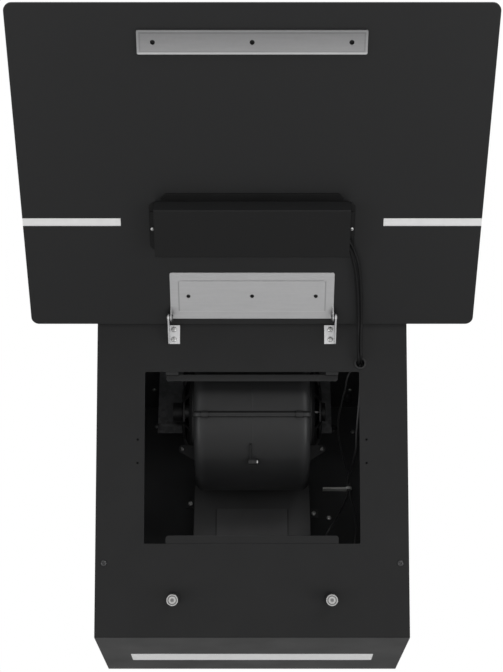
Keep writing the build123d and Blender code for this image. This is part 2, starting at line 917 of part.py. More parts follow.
def hanger_plate(side):
    """Upright plate beside the blower, bent back at the top where it is screwed up."""
    inner = hanger_left_inner if side < 0 else hanger_right_inner
    width = hanger_left_width if side < 0 else hanger_right_width
    x = sorted((side * inner, side * (inner + width)))
    y = blower_axis.Y + hanger_setback
    plate = block(x, (y, y + sheet), (plate_low - hanger_drop, plate_low))
    plate += block(x, (y, y + hanger_foot), (plate_low - sheet, plate_low))
    for place in hanger_screw_points():
        plate -= Pos(place[0], place[1], plate_low) * stud(hanger_screw_radius, (-4 * sheet, sheet))
    return plate


def adaptor_form(shrink):
    """Rectangle to round form of the adaptor, shrunk by a wall."""
    half_x = scroll_half_width - scroll_wall + adaptor_wall - shrink
    half_y = outlet_half_y - scroll_wall + adaptor_wall - shrink
    low = RectangleRounded(2 * half_x, 2 * half_y, adaptor_corner - shrink)
    high = Pos(0, 0, adaptor_rise) * Circle(duct_radius - shrink)
    return loft([low.face(), high.face()])


def exhaust_adaptor():
    """Adaptor from the rectangular outlet to a round spigot that the duct collar slips over."""
    half_x = scroll_half_width + adaptor_rim
    half_y = outlet_half_y + adaptor_rim
    adaptor = card((-half_x, half_x), (-half_y, half_y), (0, adaptor_rim_thick), adaptor_rim_corner)
    adaptor += adaptor_form(0)
    adaptor -= adaptor_form(adaptor_wall)
    adaptor -= outlet_block(-adaptor_corner, (-1, adaptor_rim_thick))
    outer = duct_inner - spigot_clearance
    low = adaptor_rise - spigot_lap
    spigot = stud(outer + spigot_wall, (low, adaptor_rise)) & adaptor_form(0)
    spigot += stud(outer, (low, adaptor_rise + spigot_length))
    return OUTLET * (adaptor + spigot - stud(outer - spigot_wall, (low, far)))


def exhaust_collar():
    """Round duct collar over the spigot, with a stop ring and rod bosses for the flaps."""
    z = (adaptor_rise, adaptor_rise + adaptor_straight)
    collar = stud(duct_radius, z) - stud(duct_inner, z)
    stop_high = flap_up - flap_thick / 2
    stop = stud(duct_inner + adaptor_wall / 2, (stop_high - flap_stop_thick, stop_high))
    stop -= stud(duct_inner - flap_stop, (0, flap_up))
    clear = flap_knuckle_radius + flap_knuckle_lap
    collar += stop - block((-far, far), (-clear, clear), (0, flap_up))
    for side in (-1, 1):
        x = sorted((side * (duct_inner - rod_boss_length), side * (duct_inner + adaptor_wall / 2)))
        collar += axle(rod_boss_radius, x, (0, flap_up))
    return OUTLET * (collar - axle(flap_rod_radius, (-duct_inner, duct_inner), (0, flap_up)))


def flap_rod():
    """Steel rod across the collar."""
    return OUTLET * axle(flap_rod_radius, (-duct_inner, duct_inner), (0, flap_up))


def flap(side):
    """Half-round non-return flap with two knuckles on the rod; side is -1 in front, 1 at the back."""
    reach = duct_inner - flap_gap
    half = flap_thick / 2
    leaf = stud(reach, (flap_up - half, flap_up + half))
    start = flap_knuckle_radius + flap_leaf_gap
    leaf &= block((-far, far), sorted((side * start, side * far)), (0, far))
    for end in (-1, 1):
        notch = sorted((end * (reach - flap_notch), end * far))
        leaf -= block(notch, (-flap_notch_half, flap_notch_half), (0, far))
    pitch = flap_knuckle_pitch
    starts = (-2 * pitch, 0) if side < 0 else (-pitch, pitch)
    for start in starts:
        x = (start + flap_side_gap, start + pitch - flap_side_gap)
        web = sorted((0, side * (flap_knuckle_radius + flap_knuckle_lap)))
        leaf += axle(flap_knuckle_radius, x, (0, flap_up))
        leaf += block(x, web, (flap_up - half, flap_up + half))
    return OUTLET * (leaf - axle(flap_rod_radius + running_clearance, (-far, far), (0, flap_up)))


def mains_gland():
    """Bush in the top plate for the mains lead."""
    bush = stud(gland_rim, (sheet, gland_rise)) + stud(gland_radius, (-gland_inside, sheet))
    bush = chamfer(bush.edges().sort_by(Axis.Z)[-1], gland_edge)
    bush -= stud(gland_hole, (-far, far))
    return Pos(gland_x, -gland_from_wall, plate_low) * bush


# Wiring inside the casing


def box_lug_points():
    """Places of the wiring box's lug screws, in X and Z."""
    x = box_half_width + box_lug_screw
    return [(-x, box_lug_left_up), (x, box_lug_right_up)]


def wiring_box():
    """Open moulded box on the wall side, with two screw lugs."""
    half, wall = box_half_width, box_wall
    front = -sheet - box_depth + box_lid
    box = block((-half, half), (front, -sheet), (box_low, box_high))
    box -= block((-half + wall, half - wall), (front - 1, -sheet - wall), (box_low + wall, box_high - wall))
    box -= axle(wire_diameter / 2 + wire_clearance, (half - 2 * wall, half + 1), box_wire_entry)
    for x, z in box_lug_points():
        side = 1 if x > 0 else -1
        reach = sorted((side * (half - wall), side * (half + box_lug_reach)))
        lug_z = (z - box_lug_height / 2, z + box_lug_height / 2)
        box += block(reach, (-sheet - 2 * wall, -sheet), lug_z)
        box -= Pos(x, 0, z) * Rot(X=90) * Cylinder(volute_screw_shank, far)
    return box


def wiring_box_cover():
    """Lid of the wiring box with a raised middle field."""
    half = box_half_width
    front = -sheet - box_depth
    lid = block((-half, half), (front, front + box_lid), (box_low, box_high))
    lid = fillet(lid.edges().filter_by(Axis.Z).sort_by(Axis.Y)[:2], box_lid_edge)
    high = box_high - box_panel_drop
    field_y = (front - box_panel_raise, front + box_lid)
    return lid + block((-box_panel_half, box_panel_half), field_y, (high - box_panel_height, high))


def wiring_box_screws():
    """Screws of the wiring box's lugs."""
    one = screw(inner_screw_head, screw_head_height, volute_screw_shank, 2 * box_wall)
    return [Pos(x, -sheet - 2 * box_wall, z) * Rot(X=90) * one for x, z in box_lug_points()]


def terminal_block():
    """Row of lead terminals in the wiring box."""
    length, height, depth = terminal_size
    back = -sheet - box_wall
    bar = block((-length / 2, length / 2), (back - depth, back), (terminal_up, terminal_up + height))
    for place in range(terminal_count):
        x = length * ((place + 0.5) / terminal_count - 0.5)
        hole = Cylinder(terminal_hole, 2 * terminal_hole_depth)
        bar -= Pos(x, back - depth, terminal_up + height / 2) * Rot(X=90) * hole
    return bar


def capacitor():
    """Motor capacitor lying in the wiring box."""
    y = -sheet - box_wall - capacitor_radius
    return axle(capacitor_radius, (-capacitor_length / 2, capacitor_length / 2), (y, capacitor_up))


def cable_saddle():
    """White clip on the wall side: a bar with a hoop at its end that holds the two wires."""
    x = (saddle_left, hoop_at[0] - hoop_radius)
    z = (saddle_z - saddle_height / 2, saddle_z + saddle_height / 2)
    saddle = block(x, (-sheet - saddle_depth, -sheet), z)
    hoop_z = (saddle_z - hoop_height / 2, saddle_z + hoop_height / 2)
    saddle += stud(hoop_radius + hoop_wall, hoop_z, hoop_at)
    return saddle - stud(hoop_radius, (saddle_z - hoop_height, saddle_z + hoop_height), hoop_at)


def inner_screws():
    """Bright rivets on the wall side and under the top plate."""
    one = screw(inner_screw_head, screw_head_height, volute_screw_shank, sheet)
    screws = [Pos(x, -sheet, z) * Rot(X=90) * one for x, z in inner_screws_wall]
    for side in (-1, 1):
        place = Pos(side * inner_screw_top[0], inner_screw_top[1], plate_low)
        screws.append(place * Rot(X=180) * one)
    for x, y in hanger_screw_points():
        bolt = screw(hanger_screw_head, screw_head_height, hanger_screw_radius, 2 * sheet)
        screws.append(Pos(x, y, plate_low - sheet) * Rot(X=180) * bolt)
    return screws


def cable_grommet():
    """Rubber grommet in the face for the leads of the glass front."""
    body = stud(grommet_rim, (0, grommet_rim_stand))
    body = fillet(body.edges().sort_by(Axis.Z)[-1], grommet_rim_round)
    body += stud(grommet_seat, (-sheet, 0))
    body += stud(grommet_rim, (-sheet - grommet_inside, -sheet))
    body -= stud(grommet_hole, (-far, far))
    return FACE * Pos(grommet_x, opening_high + grommet_above_opening, 0) * body


def tube(points, diameter):
    """A lead along a route of straight runs joined by arcs as large as the runs allow."""
    spots = [Vector(*point) for point in points]
    runs = [b - a for a, b in zip(spots, spots[1:])]
    radii = []
    for before, after in zip(runs, runs[1:]):
        half_turn = radians(before.get_angle(after)) / 2
        shorter = min(before.length, after.length)
        radii.append(lead_bend_share * shorter * cos(half_turn) / sin(half_turn))
    path = FilletPolyline(*spots, radius=radii)
    print("lead", diameter, "length", round(path.length), "radii", [round(r) for r in radii])
    section = Plane(origin=path @ 0, z_dir=path % 0) * Circle(diameter / 2)
    return sweep(section, path=path)


# Underside light


def light_lens():
    """Milky lens flush in the slot of the underside, with a rim above the sheet."""
    lens = light_slot(-trim_gap, (0, sheet))
    return UNDER * (lens + light_slot(lens_rim, (sheet, sheet + lens_rim_thick)))


def light_housing():
    """Tray over the lens that holds the light board."""
    low = sheet + lens_rim_thick
    tray = light_slot(lens_rim, (low, low + housing_height))
    hollow = light_slot(lens_rim - housing_wall, (low - 1, low + housing_height - housing_wall))
    wire = wire_routes[0][-1]
    hole = stud(wire_diameter / 2 + wire_clearance, (low, 2 * housing_height))
    entry = Pos(wire[0], wire[1], z_bottom) * hole
    return UNDER * (tray - hollow) - entry


def light_board():
    """Board with a row of light-emitting chips, under the tray's roof."""
    roof = sheet + lens_rim_thick + housing_height - housing_wall
    half = light_width / 2 - lens_rim
    middle = light_setback + light_depth / 2
    y = (middle - board_width / 2, middle + board_width / 2)
    board = block((-half, half), y, (roof - board_thick, roof))
    pitch = 2 * half / led_count
    chip = block(
        (-led_size / 2, led_size / 2),
        (middle - led_size / 2, middle + led_size / 2),
        (roof - board_thick - led_height, roof - board_thick),
    )
    for place in range(led_count):
        board += Pos(-half + pitch * (place + 0.5), 0, 0) * chip
    return UNDER * board


# Hinges between the casing and the glass


def hinge_leaf():
    """Right leaf: a flange screwed to the face and an arm square to it that reaches to the pivot."""
    outer = leaf_outer()
    low, high = hinge_up_face - leaf_flange_low, hinge_up_face - leaf_flange_high
    leaf = block((outer - leaf_flange_width, outer), (low, high), (0, leaf_thick))
    root = Polyline((low, leaf_arm_edge), (low, 0), (high - leaf_arm_setback, 0))
    boss = Pos(hinge_up_face, pivot_off_face) * Circle(ear_round)
    outline = make_hull(root.edges() + boss.edges())
    leaf += extrude(Plane.YZ * outline, amount=leaf_thick).moved(Pos(outer - leaf_thick, 0, 0))
    leaf -= axle(pin_radius, (0, far), (hinge_up_face, pivot_off_face))
    for x, up in leaf_screw_points():
        leaf -= stud(casing_screw_shank, (-leaf_thick, 2 * leaf_thick), (x, up))
    return FACE * leaf


def hinge_screws():
    """Round-headed screws of the two hinge leaves."""
    length = leaf_thick + 4 * sheet
    one = screw(leaf_screw_head, screw_head_height, casing_screw_shank, length, leaf_thick)
    screws = []
    for x, up in leaf_screw_points():
        screws += both_sides(FACE * Pos(x, up, 0) * one)
    return screws


def hinge_pins():
    """Riveted pins with a washer between leaf and ear; they are fast in the leaves."""
    ear_in = bracket_half_width - bracket_thick
    outer = leaf_outer()
    head = pin_head_thick
    pin = axle(pin_radius, (ear_in - leaf_gap, outer))
    pin += axle(pin_head_radius, (ear_in - leaf_gap - head, ear_in - leaf_gap))
    pin += axle(pin_head_radius, (outer, outer + head))
    pin += axle(washer_radius, (bracket_half_width + leaf_gap, outer - leaf_thick))
    pin = chamfer(pin.edges().filter_by(GeomType.CIRCLE).sort_by(Axis.X)[-1], pin_edge)
    return both_sides(FACE * Pos(0, hinge_up_face, pivot_off_face) * pin)


# Glass front


def glass_panel():
    """Black glass with two slots from its side edges for the light strips."""
    half = glass_width / 2
    glass = card((-half, half), (0, glass_length), (-glass_thick, 0), glass_corner)
    y = (strip_near, strip_near + strip_height)
    for side in (-1, 1):
        x = sorted((side * strip_inner, side * glass_width))
        glass -= block(x, y, (-far, far))
    return DOOR * glass


def side_light(side):
    """Light strip that fills one side slot of the glass."""
    x = sorted((side * (strip_inner + strip_gap), side * glass_width / 2))
    y = (strip_near + strip_gap, strip_near + strip_height - strip_gap)
    return DOOR * block(x, y, (-glass_thick, 0))


def hinge_bracket():
    """Pressed steel bracket on the glass with a raised field and two ears for the hinge pins."""
    half = bracket_half_width
    y = (bracket_near, bracket_near + bracket_length)
    plate = card((-half, half), y, (0, bracket_thick), bracket_corner)
    field_y = (bracket_field_near, bracket_field_near + bracket_field_length)
    field = bracket_field_half
    rise = bracket_thick + bracket_field_raise
    plate += card((-field, field), field_y, (0, rise), bracket_corner)
    inset = bracket_thick
    plate -= card(
        (-field + inset, field - inset),
        (field_y[0] + inset, field_y[1] - inset),
        (-far, bracket_field_raise),
        bracket_corner - inset / 2,
    )
    for place in (-bracket_hole_pitch, 0, bracket_hole_pitch):
        plate -= stud(bracket_hole_radius, (-far, far), (place, bracket_hole_from_edge))
    pivot_at = (glass_beyond_pivot, pivot_off_glass)
    low = glass_beyond_pivot - ear_round
    boss = Pos(*pivot_at) * Circle(ear_round)
    outline = make_hull(Line((low, 0), (low + ear_length, 0)).edges() + boss.edges())
    one = extrude(Plane.YZ * outline, amount=bracket_thick).moved(Pos(half - bracket_thick, 0, 0))
    one -= axle(pin_radius + running_clearance, (0, far), pivot_at)
    for ear_solid in both_sides(one):
        plate += ear_solid
    return DOOR * plate


def strike_plate():
    """Pressed steel strike on the glass, a shallow tray turned toward the catches."""
    half = strike_half_width
    y = (strike_mid - strike_height / 2, strike_mid + strike_height / 2)
    tray = card((-half, half), y, (0, strike_stand), strike_corner)
    inner_x = (-half + strike_border, half - strike_border)
    inner_y = (y[0] + strike_border, y[1] - strike_border)
    tray -= card(inner_x, inner_y, (-far, strike_stand - strike_wall), strike_inner_corner)
    for place in (-strike_hole_pitch, 0, strike_hole_pitch):
        tray -= stud(strike_hole_radius, (-far, far), (place, strike_mid))
    return DOOR * tray


def catch_posts():
    """Posts on the face that carry the magnets."""
    high = stand_off - strike_stand - catch_clearance - magnet_thick
    post = stud(post_radius, (0, high))
    return both_sides(FACE * Pos(catch_x, catch_up_face, 0) * post)


def catch_magnets():
    """Magnets with a rim and a dimple, on the posts."""
    high = stand_off - strike_stand - catch_clearance
    disc = stud(catch_radius, (high - magnet_thick, high))
    disc = fillet(disc.edges().sort_by(Axis.Z)[-1], magnet_edge)
    groove = stud(catch_radius - magnet_rim, (high - magnet_recess, high))
    disc -= groove - stud(catch_radius - 2 * magnet_rim, (high - magnet_recess, high))
    disc -= stud(magnet_dimple, (high - 2 * magnet_recess, high))
    return both_sides(FACE * Pos(catch_x, catch_up_face, 0) * disc)


def control_box_base():
    """Base plate on the glass, with a tab toward the free edge and an ear at each end."""
    half, corner = control_tab_half, control_tab_corner
    near = control_near
    main_high = control_near + control_length - control_base_far_inset
    high = control_near + control_length + control_tab_reach
    tab = [
        (-half, near),
        (half, near),
        (half, high - corner),
        (half - corner, high),
        (corner - half, high),
        (-half, high - corner),
    ]
    outline = make_face(Polyline(*tab, close=True))
    reach, cut = control_base_half, control_base_corner
    low = control_base_near
    main = [
        (-reach + cut, low),
        (reach - cut, low),
        (reach, low + cut),
        (reach, main_high - cut),
        (reach - cut, main_high),
        (-reach + cut, main_high),
        (-reach, main_high - cut),
        (-reach, low + cut),
    ]
    outline += make_face(Polyline(*main, close=True))
    base = extrude(outline, amount=control_base_thick)
    for side in (-1, 1):
        base -= stud(control_screw_shank, (-far, far), (side * control_screw_x, control_screw_near))
        post_at = (side * (control_half_width - control_post_in), near + control_length / 2)
        base += stud(control_post_radius, (0, control_board_stand), post_at)
    return DOOR * base


def control_box_cover():
    """Folded black cover of the control box, with a screwed ear at each end and a lead exit."""
    half, wall, high = control_half_width, control_wall, control_stand
    low = control_base_thick
    y = (control_near, control_near + control_length)
    cover = block((-half, half), y, (low, high))
    cover = fillet(cover.edges().filter_by(Axis.X).sort_by(Axis.Z)[-2:], control_cover_edge)
    cover -= block((-half + wall, half - wall), (y[0] + wall, y[1] - wall), (low - 1, high - wall))
    for side in (-1, 1):
        x = sorted((side * (half - wall), side * (half + control_ear_reach)))
        ear_y = (control_ear_near, control_ear_near + control_ear_length)
        cover += block(x, ear_y, (low, low + wall))
        cover -= stud(control_screw_shank, (-far, far), (side * control_screw_x, control_screw_near))
    slot = Pos(lead_exit_near, lead_exit_stand) * SlotOverall(lead_exit_length, lead_exit_height)
    cover -= Pos(half - 2 * wall, 0, 0) * extrude(Plane.YZ * slot, amount=3 * wall)
    return DOOR * cover


def control_board():
    """Electronics board on its posts under the cover."""
    half = control_half_width - control_board_margin
    y = (control_near + control_board_margin, control_near + control_length - control_board_margin)
    low = control_board_stand
    board = block((-half, half), y, (low, low + control_board_thick))
    top = low + control_board_thick
    middle = control_near + control_length / 2
    board += block(relay_x, (middle - relay_half, middle + relay_half), (top, top + relay_height))
    board += block(chip_x, (middle - chip_half, middle + chip_half), (top, top + chip_height))
    board += block(lead_plug_x, lead_plug_near, (top, top + lead_plug_height))
    return DOOR * board


def control_box_screws():
    """Silver screws through the ears of the control box."""
    base = control_base_thick + control_wall
    one = screw(control_screw_head, screw_head_height, control_screw_shank, base, base)
    return both_sides(DOOR * Pos(control_screw_x, control_screw_near, 0) * one)


def write(name, shape):
    """Writes one sub-part, which may be several separate solids."""
    if isinstance(shape, list):
        shape = Compound([solid for piece in shape for solid in piece.solids()])
    export_step(shape, os.path.join("parts", name + ".step"))
    print(name, len(shape.solids()))


def main():
    """Builds every sub-part and writes it to its own file."""
    housing = volute()
    right_leaf = hinge_leaf()
    parts = {
        "front_shell": front_shell(),
        "rear_shell": rear_shell(),
        "top_plate": top_plate(),
        "filter_ledge_top": filter_ledge_top(),
        "filter_ledge_bottom": filter_ledge_bottom(),
        "casing_screws": casing_screws(),
        "volute_upper": volute_half(housing, True),
        "volute_lower": volute_half(housing, False),
        "inlet_guard_left": inlet_guard(-1),
        "inlet_guard_right": inlet_guard(1),
        "motor": motor(),
        "shaft_bush": shaft_bush(),
        "impeller": impeller(),
        "impeller_shaft": impeller_shaft(),
        "volute_screws": volute_screws(),
        "hanger_plate_left": hanger_plate(-1),
        "hanger_plate_right": hanger_plate(1),
        "exhaust_adaptor": exhaust_adaptor(),
        "exhaust_collar": exhaust_collar(),
        "flap_rod": flap_rod(),
        "flap_front": flap(-1),
        "flap_rear": flap(1),
        "mains_gland": mains_gland(),
        "wiring_box": wiring_box(),
        "wiring_box_cover": wiring_box_cover(),
        "wiring_box_screws": wiring_box_screws(),
        "terminal_block": terminal_block(),
        "capacitor": capacitor(),
        "cable_saddle": cable_saddle(),
        "inner_screws": inner_screws(),
        "inner_wires": [tube(route, wire_diameter) for route in wire_routes],
        "cable_grommet": cable_grommet(),
        "control_cable": [tube(route, lead_diameter) for route in lead_routes],
        "light_lens": light_lens(),
        "light_housing": light_housing(),
        "light_board": light_board(),
        "hinge_leaf_left": mirror(right_leaf, about=Plane.YZ),
        "hinge_leaf_right": right_leaf,
        "hinge_screws": hinge_screws(),
        "hinge_pins": hinge_pins(),
        "glass_panel": glass_panel(),
        "side_light_left": side_light(-1),
        "side_light_right": side_light(1),
        "hinge_bracket": hinge_bracket(),
        "strike_plate": strike_plate(),
        "catch_posts": catch_posts(),
        "catch_magnets": catch_magnets(),
        "control_box_base": control_box_base(),
        "control_box_cover": control_box_cover(),
        "control_board": control_board(),
        "control_box_screws": control_box_screws(),
    }
    for name, shape in parts.items():
        write(name, shape)


main()
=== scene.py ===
# %% [markdown]
# # A range hood with its glass front swung up
#
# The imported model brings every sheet, moulding and bracket in its true place. This lesson gives
# them their finishes, lays the leads and the wires, and turns the screws. It starts with the model
# itself, which is never moved: each new piece is placed by the model's own measures.

# %% Load the model
import json
from math import copysign, cos, pi, radians, sin

import bmesh
import bpy
from mathutils import Matrix, Vector


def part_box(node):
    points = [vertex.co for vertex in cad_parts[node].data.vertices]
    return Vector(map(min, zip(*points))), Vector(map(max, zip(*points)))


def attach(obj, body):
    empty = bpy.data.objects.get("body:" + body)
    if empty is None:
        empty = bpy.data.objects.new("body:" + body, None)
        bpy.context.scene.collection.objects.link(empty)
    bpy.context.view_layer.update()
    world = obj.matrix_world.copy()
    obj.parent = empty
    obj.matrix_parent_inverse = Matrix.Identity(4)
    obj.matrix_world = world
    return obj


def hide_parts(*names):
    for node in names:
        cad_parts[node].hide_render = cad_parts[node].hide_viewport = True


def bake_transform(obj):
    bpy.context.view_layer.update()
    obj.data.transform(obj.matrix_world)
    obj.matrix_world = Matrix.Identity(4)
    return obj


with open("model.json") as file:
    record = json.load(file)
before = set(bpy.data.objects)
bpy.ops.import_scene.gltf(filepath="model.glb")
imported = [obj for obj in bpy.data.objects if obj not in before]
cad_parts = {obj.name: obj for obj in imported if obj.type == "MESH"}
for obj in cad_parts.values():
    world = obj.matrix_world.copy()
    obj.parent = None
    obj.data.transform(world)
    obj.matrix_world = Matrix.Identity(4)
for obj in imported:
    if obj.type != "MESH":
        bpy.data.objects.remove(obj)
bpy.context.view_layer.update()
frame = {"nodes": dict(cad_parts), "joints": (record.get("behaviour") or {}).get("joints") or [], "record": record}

MM = 0.001
nodes = frame["nodes"]

# %% [markdown]
# ## Directions and places
#
# The leaning face and the open glass each have an up and an out of their own, and the blower has its
# axis. They are worked out once from the lean, the opening angle and the model's joints, because the
# finishes and the screws are both placed by them. Lengths are in millimetres, as on a drawing.

# %% Directions of the face and of the glass
LEAN = radians(20.6)
OPEN = radians(145.6)
FACE_UP = Vector((0, -sin(LEAN), cos(LEAN)))
FACE_OUT = Vector((0, -cos(LEAN), -sin(LEAN)))
DOOR_UP = FACE_OUT * sin(OPEN) - FACE_UP * cos(OPEN)
DOOR_IN = -FACE_OUT * cos(OPEN) - FACE_UP * sin(OPEN)

RIGHT = Vector((1, 0, 0))
UPWARD = Vector((0, 0, 1))
TO_ROOM = Vector((0, -1, 0))

joint_place = {joint["name"]: Vector(joint["pos_m"]) / MM for joint in frame["joints"]}
PIVOT = joint_place["glass_hinge"]
PIVOT_UP, PIVOT_IN = 14.9, 9.6
BLOWER_AXIS = joint_place["impeller_spin"]
LOWER_EDGE = Vector((0, -197, -238))
DOOR_CORNER = PIVOT - DOOR_UP * PIVOT_UP - DOOR_IN * PIVOT_IN


def on_face(x, up, out=0.0):
    """A point of the leaning face."""
    return LOWER_EDGE + RIGHT * x + FACE_UP * up + FACE_OUT * out


def on_door(x, up, out=0.0):
    """A point of the inner side of the glass."""
    return DOOR_CORNER + RIGHT * x + DOOR_UP * up + DOOR_IN * out


print("pivot", [round(value, 1) for value in PIVOT])

# %% [markdown]
# ## The camera
#
# The photograph looks up at the hood from in front and below, and the lens is a short telephoto.
# The focal length, the tilt and the distance were worked out together from the corners of the
# glass, the leaning face and the underside, which are all rectangles. A longer lens from further
# back would make the sides of the glass more parallel than they are there.

# %% Set the camera
CAMERA_PLACE = Vector((-0.8, -1925.2, -638.1)) * MM
CAMERA_TILT = radians(90 + 26.1)
FOCAL_LENGTH = 69.64
SENSOR_WIDTH = 36.0
NEAREST, FURTHEST = 0.05, 50.0

camera_data = bpy.data.cameras.new("camera")
camera_data.lens = FOCAL_LENGTH
camera_data.sensor_width = SENSOR_WIDTH
camera_data.clip_start = NEAREST
camera_data.clip_end = FURTHEST
camera = bpy.data.objects.new("camera", camera_data)
camera.location = CAMERA_PLACE
camera.rotation_euler = (CAMERA_TILT, 0, 0)
bpy.context.scene.collection.objects.link(camera)
bpy.context.scene.camera = camera
print("camera at", [round(value, 3) for value in CAMERA_PLACE])

# %% [markdown]
# ## The lines of the leads and wires
#
# Two thin black leads leave the control box, hang a little over the hinge line and go through a
# rubber grommet into the casing. Inside, they part: one wire runs to the light in the underside
# and one to the wiring box. A lead is stiff enough to keep a smooth line, so each is one spline
# with few points, and the tube that follows is read from that spline.

# %% Routes, in metres
lead_routes = [
    [
        (0.104, -0.4711, 0.2217),
        (0.116, -0.4711, 0.2217),
        (0.1265, -0.4625, 0.2158),
        (0.133, -0.4499, 0.2101),
        (0.1392, -0.4358, 0.2015),
        (0.143, -0.4176, 0.19),
        (0.1454, -0.394, 0.1741),
        (0.147, -0.3719, 0.1586),
        (0.1478, -0.3544, 0.1451),
        (0.1462, -0.3493, 0.1257),
        (0.1472, -0.3397, 0.1002),
        (0.1479, -0.3129, 0.1103),
    ],
    [
        (0.104, -0.4646, 0.2171),
        (0.116, -0.4646, 0.2171),
        (0.1262, -0.4561, 0.2113),
        (0.1306, -0.4438, 0.2058),
        (0.1349, -0.4301, 0.1975),
        (0.1386, -0.4131, 0.1868),
        (0.1412, -0.3915, 0.1723),
        (0.1429, -0.3719, 0.1586),
        (0.1436, -0.3544, 0.1451),
        (0.143, -0.3462, 0.1247),
        (0.1439, -0.3364, 0.0987),
        (0.1447, -0.312, 0.1079),
    ],
]
wire_routes = [
    [
        (0.1447, -0.3119, 0.108),
        (0.1447, -0.3038, 0.111),
        (0.1405, -0.284, 0.116),
        (0.1345, -0.252, 0.1185),
        (0.134, -0.216, 0.115),
        (0.1297, -0.177, 0.1057),
        (0.1268, -0.147, 0.0944),
        (0.1283, -0.117, 0.0858),
        (0.1361, -0.08, 0.0681),
        (0.1455, -0.036, 0.059),
        (0.1514, -0.0105, 0.05),
        (0.1514, -0.009, 0.03),
        (0.1536, -0.024, 0.0095),
        (0.1562, -0.045, -0.012),
        (0.1538, -0.08, -0.0528),
        (0.1484, -0.095, -0.08),
        (0.144, -0.098, -0.12),
        (0.1416, -0.097, -0.16),
        (0.141, -0.096, -0.193),
        (0.141, -0.096, -0.2193),
    ],
    [
        (0.1479, -0.3128, 0.1104),
        (0.1479, -0.3045, 0.1134),
        (0.1495, -0.285, 0.104),
        (0.15, -0.262, 0.084),
        (0.148, -0.236, 0.06),
        (0.1474, -0.212, 0.0445),
        (0.1492, -0.186, 0.0385),
        (0.1496, -0.146, 0.0405),
        (0.1502, -0.1, 0.0448),
        (0.1502, -0.06, 0.0478),
        (0.149, -0.03, 0.049),
        (0.1486, -0.01, 0.046),
        (0.1486, -0.009, 0.026),
        (0.1415, -0.029, 0.008),
        (0.1317, -0.06, -0.0185),
        (0.1221, -0.085, -0.0406),
        (0.1122, -0.094, -0.056),
        (0.105, -0.074, -0.07),
        (0.0995, -0.05, -0.074),
        (0.0845, -0.05, -0.074),
    ],
]
LEAD_DIAMETER = 3.9 * MM
WIRE_DIAMETER = 2.6 * MM
LEAD_LENGTHS = [0.229, 0.219]
WIRE_LENGTHS = [0.614, 0.528]


# %% Read points from the spline of a route
def line_of(route):
    """The points of the smooth line that a route's points pull along."""
    data = bpy.data.curves.new("route", "CURVE")
    data.dimensions = "3D"
    spline = data.splines.new("NURBS")
    spline.points.add(len(route) - 1)
    for point, place in zip(spline.points, route):
        point.co = (*place, 1)
    spline.order_u = 3
    spline.use_endpoint_u = True
    spline.resolution_u = 10
    holder = bpy.data.objects.new("route", data)
    mesh = bpy.data.meshes.new_from_object(holder)
    points = [vertex.co.copy() for vertex in mesh.vertices]
    bpy.data.objects.remove(holder)
    bpy.data.curves.remove(data)
    bpy.data.meshes.remove(mesh)
    return points


def run_of(points):
    """Length along a row of points."""
    return sum((b - a).length for a, b in zip(points, points[1:]))


lead_lines = [line_of(route) for route in lead_routes]
wire_lines = [line_of(route) for route in wire_routes]
print("lead lengths", [round(run_of(line), 3) for line in lead_lines])
print("wire lengths", [round(run_of(line), 3) for line in wire_lines])

# %% [markdown]
# ## The studio
#
# The photograph is lit like a catalogue picture: a white backdrop, broad soft light from the front
# and a pale floor that lights the underside from below. One lamp shines straight down on the
# floor beyond the plane of the wall, and the underside reflects it. The backdrop is the world
# itself. It is white where the camera looks past the hood, and dimmer as a source of light,
# because black powder coat turns grey when a full white room is reflected in it.

# %% World, floor and lamps
BACKDROP_LIGHT = 1.0
ROOM_LIGHT = 0.39
FLOOR_HEIGHT = -1.62
FLOOR_HALF = 4.5
FLOOR_MIDDLE = -1.0


def build_world():
    """White backdrop for the camera and a softer room for everything else."""
    world = bpy.data.worlds.new("studio")
    bpy.context.scene.world = world
    world.use_nodes = True
    tree = world.node_tree
    tree.nodes.clear()
    mix = tree.nodes.new("ShaderNodeMixShader")
    for socket, light in ((2, BACKDROP_LIGHT), (1, ROOM_LIGHT)):
        white = tree.nodes.new("ShaderNodeBackground")
        white.inputs["Strength"].default_value = light
        white.inputs["Color"].default_value = (1, 1, 1, 1)
        tree.links.new(white.outputs[0], mix.inputs[socket])
    path = tree.nodes.new("ShaderNodeLightPath")
    output = tree.nodes.new("ShaderNodeOutputWorld")
    tree.links.new(path.outputs["Is Camera Ray"], mix.inputs["Fac"])
    tree.links.new(mix.outputs[0], output.inputs["Surface"])


def lamp(name, place, target, size, power):
    """A soft square lamp aimed at a point."""
    data = bpy.data.lights.new(name, "AREA")
    data.shape = "SQUARE"
    data.size = size
    data.energy = power
    holder = bpy.data.objects.new(name, data)
    holder.location = place
    holder.rotation_euler = (Vector(target) - Vector(place)).to_track_quat("-Z", "Y").to_euler()
    bpy.context.scene.collection.objects.link(holder)


def build_floor():
    """A wide pale floor, well below the hood, as under a hood on a wall."""
    mesh = bpy.data.meshes.new("floor")
    corners = [(-1, -1), (1, -1), (1, 1), (-1, 1)]
    places = [(x * FLOOR_HALF, y * FLOOR_HALF + FLOOR_MIDDLE, FLOOR_HEIGHT) for x, y in corners]
    mesh.from_pydata(places, [], [(0, 1, 2, 3)])
    floor = bpy.data.objects.new("floor", mesh)
    bpy.context.scene.collection.objects.link(floor)
    return floor


